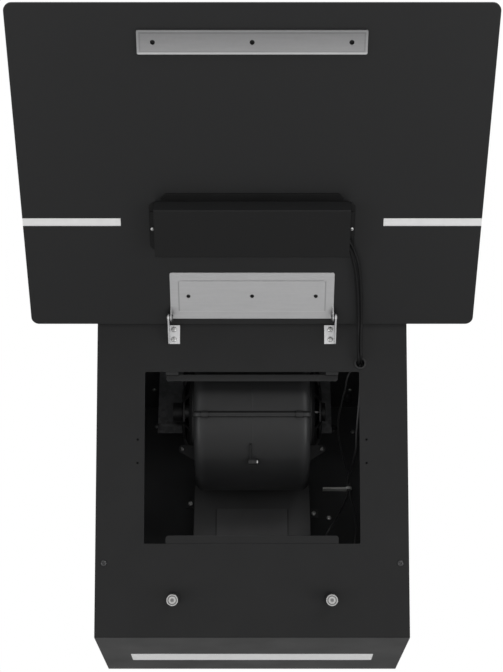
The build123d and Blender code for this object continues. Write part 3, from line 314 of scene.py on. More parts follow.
HOOD = (0, -0.25, 0)
FAR_FLOOR = (0, 3.0, -2.0)
LAMPS = [
    # name, place, target, size in metres, power in watts
    ("key", (1.6, -2.6, 1.3), HOOD, 2.0, 46),
    ("fill", (-1.6, -2.6, 1.3), HOOD, 2.0, 18),
    ("low_left", (-1.9, -1.7, -1.3), HOOD, 1.2, 24),
    ("low_right", (1.9, -1.7, -1.3), HOOD, 1.2, 26),
    ("low", (0, -2.4, -1.2), HOOD, 1.8, 10),
    ("far_floor", (0, 3.0, 0.1), FAR_FLOOR, 3.0, 38),
]

build_world()
floor = build_floor()
for name, place, target, size, power in LAMPS:
    lamp(name, place, target, size, power)
bpy.context.scene.view_settings.view_transform = "Standard"
bpy.context.scene.view_settings.look = "None"
print("lamps", len(bpy.data.lights))

# %% [markdown]
# ## A bench for finishes
#
# Every finish is a principled shader with the values that are the same all over set on its own
# sockets, and a few textures in object coordinates for what varies: tone, gloss and relief. The
# helpers below add one texture or one step of arithmetic each, so that a finish reads as a short
# list of what it has. Places are measured in millimetres along the directions worked out above,
# so a line that the press or the mould left on a part lies where the part has it, in any view.

# %% Helpers that build a finish
SOCKETS = {"specular": "Specular IOR Level", "subsurface": "Subsurface Weight"}
LOW_QUARTER, HIGH_QUARTER = 0.25, 0.75


class Finish:
    """A material in the making."""

    def __init__(self, name, colour, roughness, metallic=0.0, **values):
        self.material = bpy.data.materials.new(name)
        self.material.use_nodes = True
        self.tree = self.material.node_tree
        self.shader = self.tree.nodes["Principled BSDF"]
        self.colour = colour
        self.relief = None
        self.shader.inputs["Base Color"].default_value = (*colour, 1)
        self.shader.inputs["Roughness"].default_value = roughness
        self.shader.inputs["Metallic"].default_value = metallic
        for socket, value in values.items():
            self.shader.inputs[SOCKETS[socket]].default_value = value
        self.place = self.node("ShaderNodeTexCoord").outputs["Object"]

    def node(self, kind, **settings):
        """A new node, with its settings and its sockets' plain values."""
        made = self.tree.nodes.new(kind)
        for key, value in settings.items():
            if hasattr(made, key):
                setattr(made, key, value)
            else:
                made.inputs[key.replace("_", " ").title()].default_value = value
        return made

    def feed(self, value, socket):
        """Links an output to an input, or gives the input a plain value."""
        if isinstance(value, bpy.types.NodeSocket):
            self.tree.links.new(value, socket)
        else:
            socket.default_value = value

    # Arithmetic

    def maths(self, operation, *values):
        """One step of arithmetic on outputs and plain numbers."""
        step = self.node("ShaderNodeMath", operation=operation)
        for socket, value in zip(step.inputs, values):
            self.feed(value, socket)
        return step.outputs["Value"]

    def vector(self, operation, first, second):
        """One step of arithmetic on two vectors."""
        step = self.node("ShaderNodeVectorMath", operation=operation)
        self.feed(first, step.inputs[0])
        self.feed(second, step.inputs[1])
        return step.outputs["Value" if operation == "DOT_PRODUCT" else "Vector"]

    def product(self, first, *others):
        """All the factors multiplied."""
        for other in others:
            first = self.maths("MULTIPLY", first, other)
        return first

    def between(self, mask, off, on):
        """One value where a mask is 0 and another where it is 1."""
        return self.maths("MULTIPLY_ADD", mask, on - off, off)

    def ramp(self, source, start, end, low, high):
        """A value that runs from low to high while its source runs from start to end."""
        ranged = self.node("ShaderNodeMapRange")
        for label, value in zip(("From Min", "From Max", "To Min", "To Max"), (start, end, low, high)):
            ranged.inputs[label].default_value = value
        self.feed(source, ranged.inputs["Value"])
        return ranged.outputs["Result"]

    def spread(self, source, low, high):
        """A texture's usual range spread between two values."""
        return self.ramp(source, LOW_QUARTER, HIGH_QUARTER, low, high)

    def band(self, source, middle, half, inside, outside=1.0):
        """One value on a band of its source and another beyond it, with soft borders."""
        off = self.maths("ABSOLUTE", self.maths("SUBTRACT", source, middle))
        return self.ramp(off, half * 0.75, half * 1.25, inside, outside)

    # Places and directions

    def along(self, origin, direction):
        """How many mm a place lies from an origin, counted along a direction."""
        gap = self.vector("SUBTRACT", self.place, origin * MM)
        return self.vector("DOT_PRODUCT", gap, direction / MM)

    def sideways(self):
        """How many mm a place lies from the middle plane, to either side."""
        return self.maths("ABSOLUTE", self.along(Vector(), RIGHT))

    def facing(self, direction):
        """1 where a surface looks along a direction, -1 where it looks the other way."""
        normal = self.node("ShaderNodeTexCoord").outputs["Normal"]
        return self.vector("DOT_PRODUCT", normal, direction)

    def looks(self, direction):
        """A mask of the surfaces that look along a direction, give or take some 55 degrees."""
        return self.ramp(self.facing(direction), 0.5, 0.6, 0, 1)

    # Textures

    def stretched(self, scale):
        """Object coordinates stretched along one or more axes."""
        mapping = self.node("ShaderNodeMapping", scale=scale)
        self.feed(self.place, mapping.inputs["Vector"])
        return mapping.outputs["Vector"]

    def noise(self, scale, detail, stretch=None):
        """Soft random variation; scale is in spots per metre."""
        noise = self.node("ShaderNodeTexNoise", scale=scale, detail=detail)
        self.feed(self.stretched(stretch) if stretch else self.place, noise.inputs["Vector"])
        return noise.outputs["Fac"]

    def cells(self, scale):
        """Random tones in crystal-like cells; scale is in cells per metre."""
        cells = self.node("ShaderNodeTexVoronoi", scale=scale)
        self.feed(self.place, cells.inputs["Vector"])
        grey = self.node("ShaderNodeRGBToBW")
        self.feed(cells.outputs["Color"], grey.inputs["Color"])
        return grey.outputs["Val"]

    # What the shader takes

    def tone(self, source, low, high):
        """Lets the colour vary between two brightnesses of itself."""
        ramp = self.node("ShaderNodeValToRGB")
        stops = zip(ramp.color_ramp.elements, (LOW_QUARTER, HIGH_QUARTER), (low, high))
        for stop, start, brightness in stops:
            stop.position, stop.color = start, tuple(c * brightness for c in self.colour) + (1,)
        self.feed(source, ramp.inputs["Fac"])
        self.feed(ramp.outputs["Color"], self.shader.inputs["Base Color"])

    def steps(self, source, *colours):
        """One of three colours, for the low, the middle and the high part of a source."""
        ramp = self.node("ShaderNodeValToRGB")
        ramp.color_ramp.interpolation = "CONSTANT"
        ramp.color_ramp.elements.new(LOW_QUARTER)
        for stop, start, colour in zip(ramp.color_ramp.elements, (0.0, LOW_QUARTER, HIGH_QUARTER), colours):
            stop.position, stop.color = start, (*colour, 1)
        self.feed(source, ramp.inputs["Fac"])
        return ramp.outputs["Color"]

    def shade(self, factor, colours=None):
        """Multiplies the colour, or an output of colours, by a factor."""
        mix = self.node("ShaderNodeVectorMath", operation="SCALE")
        self.feed(colours or self.colour, mix.inputs[0])
        self.feed(factor, mix.inputs["Scale"])
        self.feed(mix.outputs["Vector"], self.shader.inputs["Base Color"])

    def matt(self, source):
        """Takes the roughness from an output."""
        self.feed(source, self.shader.inputs["Roughness"])

    def gloss(self, source, low, high):
        """Lets the roughness vary between two values."""
        self.matt(self.spread(source, low, high))

    def bump(self, source, height, strength):
        """Adds relief of a height in metres on top of what is there."""
        bump = self.node("ShaderNodeBump", strength=strength, distance=height)
        self.feed(source, bump.inputs["Height"])
        if self.relief:
            self.feed(self.relief, bump.inputs["Normal"])
        self.relief = bump.outputs["Normal"]
        self.feed(self.relief, self.shader.inputs["Normal"])

    def soften_edges(self, radius):
        """Catches the light on sharp edges, as a small round there would."""
        bevel = self.node("ShaderNodeBevel", samples=4, radius=radius)
        self.relief = bevel.outputs["Normal"]
        self.feed(self.relief, self.shader.inputs["Normal"])


finishes = {}
own_finish = {}


def keep(slot, finish):
    """Files a finish under the slot of the model's record that it stands for."""
    finishes[slot] = finish.material


def keep_own(finish, *names):
    """Files a finish for single sub-parts whose tone isn't that of their slot."""
    for name in names:
        own_finish[name] = finish.material


print("finish bench ready")

# %% [markdown]
# ## Powder coat
#
# The casing is folded steel sheet with a black satin powder coat. Sprayed powder melts into a skin
# with a fine orange peel, a millimetre or so from bump to bump, so the skin is not flat black: it
# scatters broad, soft highlights. Two noises make the peel and a third makes slow drifts in gloss.
# The inside of the real casing is also lighter than the lamps of this studio leave it. More
# lamps would wash out the front, so light is painted into the coat where it looks inward, most of
# all low on the left: painted light, not a lighter coat.

# %% Casing paint
CASING_MIDDLE = Vector((0, -0.2, -0.05))
# Painted light inside the casing: how much the inward sheets are lightened, and lightened further low on the left.
INNER_PAINTED_LIGHT, LOW_LEFT_PAINTED_LIGHT = 5.2, 13.0
LOW_LEFT_START = Vector((-60, 0, -50))
LOW_LEFT_WAY = Vector((-0.35, 0, -0.937))
LOW_LEFT_NEAR, LOW_LEFT_FAR = 10, 70


def powder_coat(name):
    """Black powder coat with its peel; colour and gloss are still to be shaded."""
    paint = Finish(name, (0.0062, 0.0063, 0.0065), 0.5, specular=0.2)
    paint.soften_edges(0.7 * MM)
    paint.bump(paint.noise(900, 2), 0.05 * MM, 0.35)
    paint.bump(paint.noise(2600, 1), 0.02 * MM, 0.25)
    return paint


def casing_finish():
    """The coat of the casing, with painted light where a sheet faces the middle of the casing."""
    paint = powder_coat("powder_coat")
    # Painted light: sheets that look inward are lightened, most of all low on the left.
    from_middle = paint.vector("SUBTRACT", paint.place, CASING_MIDDLE)
    inward = paint.maths("LESS_THAN", paint.facing(from_middle), 0.0)
    low_left = paint.along(LOW_LEFT_START, LOW_LEFT_WAY)
    painted_inner_light = paint.ramp(low_left, LOW_LEFT_NEAR, LOW_LEFT_FAR, INNER_PAINTED_LIGHT, LOW_LEFT_PAINTED_LIGHT)
    paint.shade(paint.product(
        paint.spread(paint.noise(22, 3), 0.92, 1.1),
        paint.maths("MULTIPLY_ADD", inward, painted_inner_light, 1.0),
    ))
    paint.gloss(paint.noise(14, 2), 0.44, 0.54)
    return paint


keep("casing_paint", casing_finish())

# %% [markdown]
# The strip along the top of the opening gets painted light on its front and painted shade where it
# looks down, under its own fold, and the control box has a finer, darker coat with painted light on
# its narrow upper side. The side of a part is told by the direction of its surface, as a mask.

# %% Ledge and control box
# Painted light on the ledge's front, painted shade on its underside, painted light on the control box's upper
# side.
LEDGE_PAINTED_LIGHT, LEDGE_PAINTED_SHADE = 1.7, 0.1
LEDGE_GLOSS, LEDGE_UNDER_GLOSS = 0.5, 0.95
BOX_UPPER_PAINTED_LIGHT = 2.8

ledge = powder_coat("ledge_coat")
# The side that looks down gets painted shade; the rest gets painted light.
under = ledge.looks(-FACE_UP)
ledge.shade(ledge.between(under, LEDGE_PAINTED_LIGHT, LEDGE_PAINTED_SHADE))
ledge.matt(ledge.between(under, LEDGE_GLOSS, LEDGE_UNDER_GLOSS))
keep_own(ledge, "filter_ledge_top")


def control_finish(name, tone, upper_painted_light):
    """Finer powder, with painted light on the upper side."""
    coat = Finish(name, (tone, tone * 1.02, tone * 1.05), 0.46, specular=0.2)
    coat.soften_edges(0.5 * MM)
    coat.shade(coat.between(coat.looks(DOOR_UP), 1.0, upper_painted_light))
    coat.gloss(coat.noise(30, 2), 0.42, 0.5)
    coat.bump(coat.noise(1200, 2), 0.03 * MM, 0.3)
    return coat


keep("control_metal", control_finish("control_box_paint", 0.004, BOX_UPPER_PAINTED_LIGHT))
keep_own(control_finish("control_base_paint", 0.0017, 1.0), "control_box_base")

# %% [markdown]
# ## Glass
#
# The front is 4 mm float glass. Its inner side is printed with black enamel, which is satin and
# even; its outer side is polished, and the enamel shows through it as deep black. The ground edges
# are left clear and catch a grey green light, except the one over the hinge, which lies in the dark
# gap above the casing and is painted near black as painted shade. One material does it all: the
# direction of the surface, read in the object's own axes, tells inner side, outer side and edges apart.

# %% Enamelled glass
# Painted shade: the edge over the hinge is darkened to near black.
HINGE_EDGE_PAINTED_SHADE = 0.08
OUTER_SIDE, CLEAR_EDGE = (0.005, 0.005, 0.006), (0.016, 0.02, 0.019)
OUTER_GLOSS, EDGE_GLOSS, INNER_GLOSS = (0.03,) * 3, (0.2,) * 3, (0.43,) * 3


def glass_finish():
    """Black enamel inside, polished glass outside and clear ground edges, with painted shade on the hinge edge."""
    glass = Finish("enamelled_glass", (0.0075, 0.0077, 0.008), 0.4, specular=0.25)
    glass.soften_edges(0.5 * MM)
    side = glass.ramp(glass.facing(DOOR_IN), -1, 1, 0, 1)
    hinge_edge_shade = glass.between(glass.looks(-DOOR_UP), 1.0, HINGE_EDGE_PAINTED_SHADE)
    glass.shade(hinge_edge_shade, glass.steps(side, OUTER_SIDE, CLEAR_EDGE, glass.colour))
    glass.matt(glass.steps(side, OUTER_GLOSS, EDGE_GLOSS, INNER_GLOSS))
    glass.bump(glass.noise(700, 2), 0.008 * MM, 0.2)
    return glass


keep("glass", glass_finish())

# %% [markdown]
# ## Metals
#
# The hinge bracket, the strike and the leaves are zinc-plated pressings: light grey, satin, with a
# faint grain from rolling along their length. A press leaves soft lines round the field of a plate,
# dark where the metal dips away from the light and light where it turns toward it. They are drawn
# as bands at their distance from the border, which is cheaper than pressing the mesh and keeps the
# model's shape.

# %% Plated steel and the strike plate
STRIKE_HALF_WIDTH = 140
STRIKE_HALF_HEIGHT = 14.9
STRIKE_UP = 388.8
STRIKE_LIP = 1.2
STRIKE_GROOVE = 3.6


def plated_finish(name, tone):
    """Cold-rolled sheet with a satin zinc plate."""
    plated = Finish(name, (tone, tone, tone * 1.01), 0.42, metallic=1.0)
    plated.soften_edges(0.4 * MM)
    plated.gloss(plated.noise(160, 3), 0.38, 0.5)
    plated.bump(plated.noise(1500, 2, stretch=(0.05, 1, 1)), 0.015 * MM, 0.4)
    return plated


def rolled(plated):
    """The streaks that rolling leaves along the sheet."""
    return plated.spread(plated.noise(420, 3, stretch=(0.06, 1, 1)), 0.97, 1.03)


def strike_finish():
    """A plate with a pressed border, painted darker than the bracket: its dark tone and its fade toward the free
    edge are painted reflection of a dimmer room, with a painted highlight on the lower rim.
    """
    # The plate's dark tone is painted reflection of a dimmer part of the room.
    strike = plated_finish("strike_steel", 0.262)
    up = strike.along(on_door(0, STRIKE_UP), DOOR_UP)
    from_end = strike.maths("SUBTRACT", STRIKE_HALF_WIDTH, strike.sideways())
    from_side = strike.maths("SUBTRACT", STRIKE_HALF_HEIGHT, strike.maths("ABSOLUTE", up))
    from_border = strike.maths("MINIMUM", from_end, from_side)
    # Painted reflection fading toward the free edge, painted highlight on the lower rim and the lip, painted shade
    # in the groove.
    painted_reflection_fade = strike.ramp(up, -10, 12, 1.13, 0.84)
    lower_rim_painted_highlight = strike.ramp(up, -13, -12, 1.45, 1.0)
    lip_painted_highlight = strike.band(from_border, STRIKE_LIP, 1.2, 1.14)
    groove_painted_shade = strike.band(from_border, STRIKE_GROOVE, 0.7, 0.84)
    strike.shade(strike.product(painted_reflection_fade, lower_rim_painted_highlight, lip_painted_highlight, groove_painted_shade, rolled(strike)))
    strike.bump(strike.ramp(from_border, STRIKE_GROOVE - 1.2, STRIKE_GROOVE, 1, 0), 0.3 * MM, 0.5)
    return strike


keep_own(strike_finish(), "strike_plate")

# %% Hinge bracket and leaves
FIELD_HALF_WIDTH = 98
FIELD_NEAR = 20.3
FIELD_LENGTH = 45.6


def bracket_finish():
    """The bracket's plate; its pressed field gets painted shade on its sides and a painted highlight on its lower
    line.
    """
    plated = plated_finish("zinc_plated_steel", 0.482)
    up = plated.along(on_door(0, FIELD_NEAR), DOOR_UP)
    in_field = plated.product(
        plated.ramp(up, 0, 1, 0, 1),
        plated.ramp(up, FIELD_LENGTH - 1, FIELD_LENGTH, 1, 0),
    )
    # Painted shade along the field's sides and a painted highlight along its lower line.
    side_painted_shade = plated.band(plated.sideways(), FIELD_HALF_WIDTH, 0.9, -0.22, 0.0)
    inside = plated.ramp(plated.sideways(), FIELD_HALF_WIDTH - 1, FIELD_HALF_WIDTH, 1, 0)
    low_painted_highlight = plated.band(up, 0, 0.8, 0.16, 0.0)
    plated.shade(plated.product(
        plated.maths("MULTIPLY_ADD", in_field, side_painted_shade, 1.0),
        plated.maths("MULTIPLY_ADD", inside, low_painted_highlight, 1.0),
        rolled(plated),
    ))
    return plated


keep("hinge_steel", bracket_finish())
keep_own(plated_finish("hinge_leaf_steel", 0.575), "hinge_leaf_left", "hinge_leaf_right")

# %% [markdown]
# The plates inside are plain galvanised sheet, whose zinc froze in small crystals, so its tone
# changes from cell to cell. The two catch magnets are nickel plated and turned, with painted shade in
# the dimple and the groove between the light land and rim, all counted from each magnet's own axis.
# The screws are one plated steel in four tones: the whitest is painted highlight and the darkest is
# painted shade, after the light at their places.

# %% Galvanised sheet and the shaft
zinc = Finish("galvanised_sheet", (0.2, 0.203, 0.207), 0.45, metallic=1.0)
zinc.tone(zinc.cells(210), 0.86, 1.14)
zinc.gloss(zinc.cells(210), 0.36, 0.52)
zinc.bump(zinc.noise(900, 2), 0.02 * MM, 0.3)
keep("zinc", zinc)

shaft = Finish("ground_steel", (0.12, 0.12, 0.12), 0.35, metallic=1.0)
shaft.soften_edges(0.2 * MM)
shaft.bump(shaft.noise(2500, 2, stretch=(1, 0.1, 0.1)), 0.01 * MM, 0.4)
keep("shaft_steel", shaft)

# %% Magnets
MAGNET_X = 105
DIMPLE_RADIUS = 2.2
GROOVE_RADIUS = 5.5


def magnet_finish():
    """Nickel plate with turned rings, with painted shade in the dimple and the groove."""
    nickel = Finish("nickel_plate", (0.39, 0.387, 0.383), 0.4, metallic=1.0)
    nickel.soften_edges(0.25 * MM)
    low, high = [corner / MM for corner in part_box("catch_magnets")]
    up = nickel.along(Vector((0, *((low + high) / 2).yz)), FACE_UP)
    out = nickel.maths("SUBTRACT", nickel.sideways(), MAGNET_X)
    radius = nickel.maths("SQRT", nickel.maths("ADD", nickel.product(up, up), nickel.product(out, out)))
    # Painted shade in the dimple and in the groove.
    nickel.shade(nickel.product(
        nickel.band(radius, 0, DIMPLE_RADIUS, 0.4),
        nickel.band(radius, GROOVE_RADIUS, 0.7, 0.35),
    ))
    nickel.gloss(nickel.noise(500, 3), 0.34, 0.5)
    return nickel


keep("magnet", magnet_finish())


# %% Screw steels and the lesser metals
def screw_steel(name, tone, metallic=1.0):
    """Plated screw steel of one tone."""
    steel = Finish(name, (tone, tone, tone * 0.99), 0.34, metallic=metallic)
    steel.gloss(steel.noise(800, 2), 0.28, 0.42)
    return steel


keep("bright_screw", screw_steel("bright_screw_steel", 0.5))
# Painted highlight: a near-white copy of the screw steel.
highlit_screws = screw_steel("screw_steel_painted_highlight", 0.95, 0.3)
grey_screws = screw_steel("grey_screw_steel", 0.44)
# Painted shade: a near-black copy of the screw steel.
shaded_screws = screw_steel("screw_steel_painted_shade", 0.05)

blackened = Finish("blackened_screw_steel", (0.018, 0.018, 0.019), 0.36)
blackened.gloss(blackened.noise(900, 2), 0.28, 0.44)
keep("black_screw", blackened)

bronze = Finish("oiled_bronze", (0.45, 0.29, 0.12), 0.35, metallic=1.0)
bronze.tone(bronze.noise(600, 3), 0.85, 1.1)
keep("bronze", bronze)

can = Finish("drawn_aluminium", (0.62, 0.62, 0.63), 0.32, metallic=1.0)
can.bump(can.noise(1200, 2, stretch=(1, 0.08, 0.08)), 0.02 * MM, 0.4)
keep("capacitor_can", can)

lacquer = Finish("motor_lacquer", (0.04, 0.041, 0.042), 0.5, metallic=0.3)
lacquer.tone(lacquer.noise(80, 3), 0.9, 1.1)
lacquer.bump(lacquer.noise(1400, 2), 0.03 * MM, 0.3)
keep("motor_case", lacquer)

# %% [markdown]
# ## Mouldings and rubber
#
# The blower is moulded in black polypropylene with a fine spark-eroded grain, which gives it a
# soft sheen, and a painted sheen lightens its rounded shoulders. A seam runs round it where its
# halves clip together; its dark lines are partly the joint and partly painted shade of its step. The
# lugs beside it get painted shadow, so one mask marks the unshaded skin, and all that isn't in it is
# painted darker and is duller. Counted from the blower's axis and the middle plane, it needs no painted map.

# %% Blower
SCROLL_HALF = 80.5
SEAM_UP = -7.0
# Painted shadow on the seam and the lugs, and a painted sheen on the shoulders.
PAINTED_SHADOW_TONE = 0.2
SHOULDER_WIDE = 17
SHOULDER_PAINTED_SHEEN = 1.8


def scroll_finish():
    """Black moulding with its parting line, painted shade on its seam and its lugs, and a painted sheen on its
    shoulders.
    """
    moulded = Finish("moulded_black", (0.0105, 0.0107, 0.011), 0.42, specular=0.25)
    moulded.soften_edges(0.5 * MM)
    up = moulded.along(BLOWER_AXIS, FACE_UP)
    aside = moulded.sideways()
    # Painted shade on the seam's bands and on the lugs.
    seam_shade_above = moulded.band(up, SEAM_UP + 3.4, 1.5, 0.0)
    seam_shade_below = moulded.band(up, SEAM_UP - 3.2, 0.9, 0.3)
    off_lugs = moulded.ramp(aside, SCROLL_HALF + 0.2, SCROLL_HALF + 0.7, 1.0, 0.0)
    unshaded_skin = moulded.product(seam_shade_above, seam_shade_below, off_lugs)
    moulded.shade(moulded.product(
        moulded.spread(moulded.noise(18, 3), 0.93, 1.08),
        moulded.between(unshaded_skin, PAINTED_SHADOW_TONE, 1.0),
        # Painted sheen on the rounded shoulders.
        moulded.ramp(aside, SCROLL_HALF - SHOULDER_WIDE, SCROLL_HALF - 4, 1.0, SHOULDER_PAINTED_SHEEN),
    ))
    grain = moulded.spread(moulded.noise(26, 2), 0.38, 0.48)
    moulded.matt(moulded.maths("ADD", grain, moulded.between(unshaded_skin, 0.5, 0.0)))
    moulded.bump(moulded.noise(1900, 2), 0.03 * MM, 0.3)
    parting_line = moulded.ramp(aside, 0.4, 1.6, 1, 0)
    moulded.bump(parting_line, 0.25 * MM, 0.6)
    return moulded


keep("volute_plastic", scroll_finish())

guard = Finish("guard_moulding", (0.008, 0.008, 0.0083), 0.5, specular=0.22)
guard.gloss(guard.noise(26, 2), 0.46, 0.56)
guard.bump(guard.noise(1900, 2), 0.03 * MM, 0.3)
keep_own(guard, "inlet_guard_left", "inlet_guard_right")

fan = Finish("impeller_moulding", (0.05, 0.05, 0.051), 0.5)
fan.bump(fan.noise(1600, 2), 0.03 * MM, 0.3)
keep("impeller_plastic", fan)

collar = Finish("collar_moulding", (0.02, 0.02, 0.021), 0.44)
collar.soften_edges(0.5 * MM)
collar.gloss(collar.noise(24, 2), 0.38, 0.5)
collar.bump(collar.noise(1500, 2), 0.03 * MM, 0.3)
keep("collar_plastic", collar)
keep("flap_plastic", collar)

# %% [markdown]
# The wiring box hangs under the blower. It is painted dark there, as painted shade under the
# blower, and painted lighter toward its lower end, where the opening lets the light in, so this
# painted light and shade runs with the height in the casing. The panel of its cover has painted
# light, inside a thin rim of painted shade.

# %% Wiring box
# Painted shade high on the box and painted light low down, with painted light on the panel and painted shade on
# its rim.
BOX_DARK_AT, BOX_LIGHT_AT = 18, -40
BOX_PAINTED_SHADE, BOX_PAINTED_LIGHT = 0.4, 1.75
PANEL_HALF = 53
PANEL_TOP = -12
PANEL_PAINTED_LIGHT, RIM_PAINTED_SHADE = 1.35, 0.5


def box_finish():
    """Dark grey moulding with painted shade high up, painted light low down, and a panel with painted light inside
    a rim of painted shade.
    """
    moulding = Finish("wiring_box_moulding", (0.046, 0.046, 0.047), 0.46)
    moulding.soften_edges(0.5 * MM)
    height = moulding.along(Vector(), UPWARD)
    aside = moulding.sideways()
    below = moulding.ramp(height, PANEL_TOP, PANEL_TOP - 1, 0, 1)
    panel = moulding.product(below, moulding.ramp(aside, PANEL_HALF - 1, PANEL_HALF, 1, 0))
    # The rim around the panel gets painted shade.
    rim = moulding.product(below, moulding.band(aside, PANEL_HALF + 0.8, 0.9, 1.0, 0.0))
    moulding.shade(moulding.product(
        moulding.spread(moulding.noise(24, 3), 0.93, 1.08),
        moulding.ramp(height, BOX_DARK_AT, BOX_LIGHT_AT, BOX_PAINTED_SHADE, BOX_PAINTED_LIGHT),
        moulding.between(panel, 1.0, PANEL_PAINTED_LIGHT),
        moulding.between(rim, 1.0, RIM_PAINTED_SHADE),
    ))
    moulding.bump(moulding.noise(1700, 2), 0.03 * MM, 0.3)
    return moulding


keep("box_plastic", box_finish())

# %% [markdown]
# The light covers are milky acrylic and the terminal block is nylon. Light enters both and comes
# out again nearby, alike in all colours, which subsurface scattering does with one radius for the
# three. The grommet and the cable jackets are duller, with the fine drag of extruded plastic.

# %% Light covers, nylon, rubber and jackets
EVEN_SCATTER = (1, 1, 1)

nylon = Finish("white_nylon", (0.7, 0.695, 0.68), 0.42, subsurface=0.15)
nylon.shader.inputs["Subsurface Radius"].default_value = EVEN_SCATTER
nylon.bump(nylon.noise(1300, 2), 0.02 * MM, 0.3)
keep("terminal_plastic", nylon)

post = Finish("post_moulding", (0.014, 0.014, 0.015), 0.45)
post.bump(post.noise(1700, 2), 0.03 * MM, 0.3)
keep("post_plastic", post)


def opal_finish(name, tone):
    """Milky acrylic that scatters all colours alike."""
    opal = Finish(name, (tone, tone, tone), 0.34, subsurface=0.2)
    opal.shader.inputs["Subsurface Radius"].default_value = EVEN_SCATTER
    opal.tone(opal.noise(90, 2), 0.98, 1.02)
    opal.bump(opal.noise(1100, 2), 0.01 * MM, 0.3)
    return opal


# The cover and the strips are one acrylic; their two tones are painted light and painted shade for the different
# light that reaches each.
keep("opal", opal_finish("opal_acrylic", 0.74))
keep_own(opal_finish("strip_acrylic", 0.61), "side_light_left", "side_light_right")

lacquered_board = Finish("circuit_board", (0.012, 0.09, 0.045), 0.35)
lacquered_board.tone(lacquered_board.noise(300, 3), 0.85, 1.15)
keep("board", lacquered_board)

rubber = Finish("grommet_rubber", (0.009, 0.009, 0.0092), 0.62, specular=0.3)
rubber.bump(rubber.noise(1500, 3), 0.04 * MM, 0.4)
keep("grommet_rubber", rubber)

jacket = Finish("cable_jacket", (0.0035, 0.0035, 0.0037), 0.55, specular=0.17)
jacket.gloss(jacket.noise(700, 2), 0.5, 0.62)
jacket.bump(jacket.noise(1800, 2), 0.03 * MM, 0.3)
keep("wire_jacket", jacket)

wire_skin = Finish("grey_wire_skin", (0.055, 0.055, 0.056), 0.32)
wire_skin.gloss(wire_skin.noise(600, 2), 0.26, 0.4)

ground = Finish("pale_floor", (0.8, 0.8, 0.8), 0.6)
ground.tone(ground.noise(2, 2), 0.98, 1.02)
floor.data.materials.append(ground.material)
print("finishes", len(finishes))

# %% [markdown]
# ## Dress the model's own sub-parts
#
# The model's record names a finish for each sub-part. Each keeps its mesh, and its material slots
# are given the finish of that name, so a sub-part that is added later is dressed as well. A few
# have a finish of their own, where one material shows two tones.

# %% Give each sub-part its finish
slot_of = {part["node"]: part["material_slot"] for part in frame["record"]["subparts"]}
for name, node in nodes.items():
    for material_slot in node.material_slots:
        material_slot.material = own_finish.get(name) or finishes[slot_of[name]]
print("dressed", len(slot_of))

# %% [markdown]
# ## Leads and wires as tubes
#
# A round tube is swept along each line, ring by ring. Each ring is turned as little as possible
# from the one before, so the jacket does not twist, and both ends are closed. The leads cross the
# hinge and are laid where they hang; the wires stay inside and ride with the casing.

# %% A tube along a line
def solid(name, mesh):
    """An object for a mesh in the making."""
    data = bpy.data.meshes.new(name)
    mesh.to_mesh(data)
    mesh.free()
    made = bpy.data.objects.new(name, data)
    bpy.context.scene.collection.objects.link(made)
    return made


def tube_along(name, line, radius, sides):
    """A closed round tube along a row of points."""
    mesh = bmesh.new()
    along = (line[1] - line[0]).normalized()
    across = along.orthogonal().normalized()
    rings = []
    for index, place in enumerate(line):
        before = line[max(index - 1, 0)]
        after = line[min(index + 1, len(line) - 1)]
        now = (after - before).normalized()
        across = (along.rotation_difference(now) @ across).normalized()
        along = now
        other = along.cross(across)
        rings.append([
            mesh.verts.new(place + (across * cos(turn) + other * sin(turn)) * radius)
            for turn in (2 * pi * side / sides for side in range(sides))
        ])
    for low, high in zip(rings, rings[1:]):
        for side in range(sides):
            nearby = (side + 1) % sides
            mesh.faces.new((low[side], low[nearby], high[nearby], high[side])).smooth = True
    mesh.faces.new(rings[0][::-1])
    mesh.faces.new(rings[-1])
    return solid(name, mesh)


# %% Lay the leads and the wires
LEAD_SIDES, WIRE_SIDES = 20, 16


def lay_cord(name, line, diameter, sides, skin):
    tube = tube_along(name, line, diameter / 2, sides)
    tube.data.materials.append(skin.material)
    return tube


for number, (line, length) in enumerate(zip(lead_lines, LEAD_LENGTHS), 1):
    lead = lay_cord(f"lead_{number}", line, LEAD_DIAMETER, LEAD_SIDES, jacket)
    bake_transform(lead)
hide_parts("control_cable")

for number, (line, length) in enumerate(zip(wire_lines, WIRE_LENGTHS), 1):
    wire = lay_cord(f"inner_wire_{number}", line, WIRE_DIAMETER, WIRE_SIDES, wire_skin)
    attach(wire, "body")
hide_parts("inner_wires")

# %% [markdown]
# ## Screws
#
# All the screws are the same kind: a round pan head with a cross recess and a threaded shank. One
# head and one shank are made at unit size, and Geometry Nodes puts a pair on each point, turned
# square to its surface and then by a random angle about its own axis, because no two screws stop
# at the same turn. Copying by hand would need each angle written down.

# %% A head with a cross recess, one unit wide and high
HEAD_SIDES = 32
HEAD_PROFILE = [(1.0, 0.0), (1.0, 0.28), (0.95, 0.52), (0.84, 0.74), (0.62, 0.91), (0.34, 0.985), (0.0, 1.0)]
RECESS_TOP = (0.62, 0.13, 1.1)
RECESS_BOTTOM = (0.3, 0.08, 0.42)


def lathe(profile, sides):
    """A closed form turned about Z; the profile runs from the rim to the axis."""
    mesh = bmesh.new()
    rings = []
    for radius, height in profile:
        if radius == 0:
            rings.append([mesh.verts.new((0, 0, height))])
            continue
        turns = (2 * pi * side / sides for side in range(sides))
        rings.append([mesh.verts.new((radius * cos(t), radius * sin(t), height)) for t in turns])
    for low, high in zip(rings, rings[1:]):
        for side in range(sides):
            nearby = (side + 1) % sides
            top = (high[nearby], high[side]) if len(high) > 1 else (high[0],)
            mesh.faces.new((low[side], low[nearby], *top)).smooth = True
    mesh.faces.new(rings[0][::-1])
    return mesh


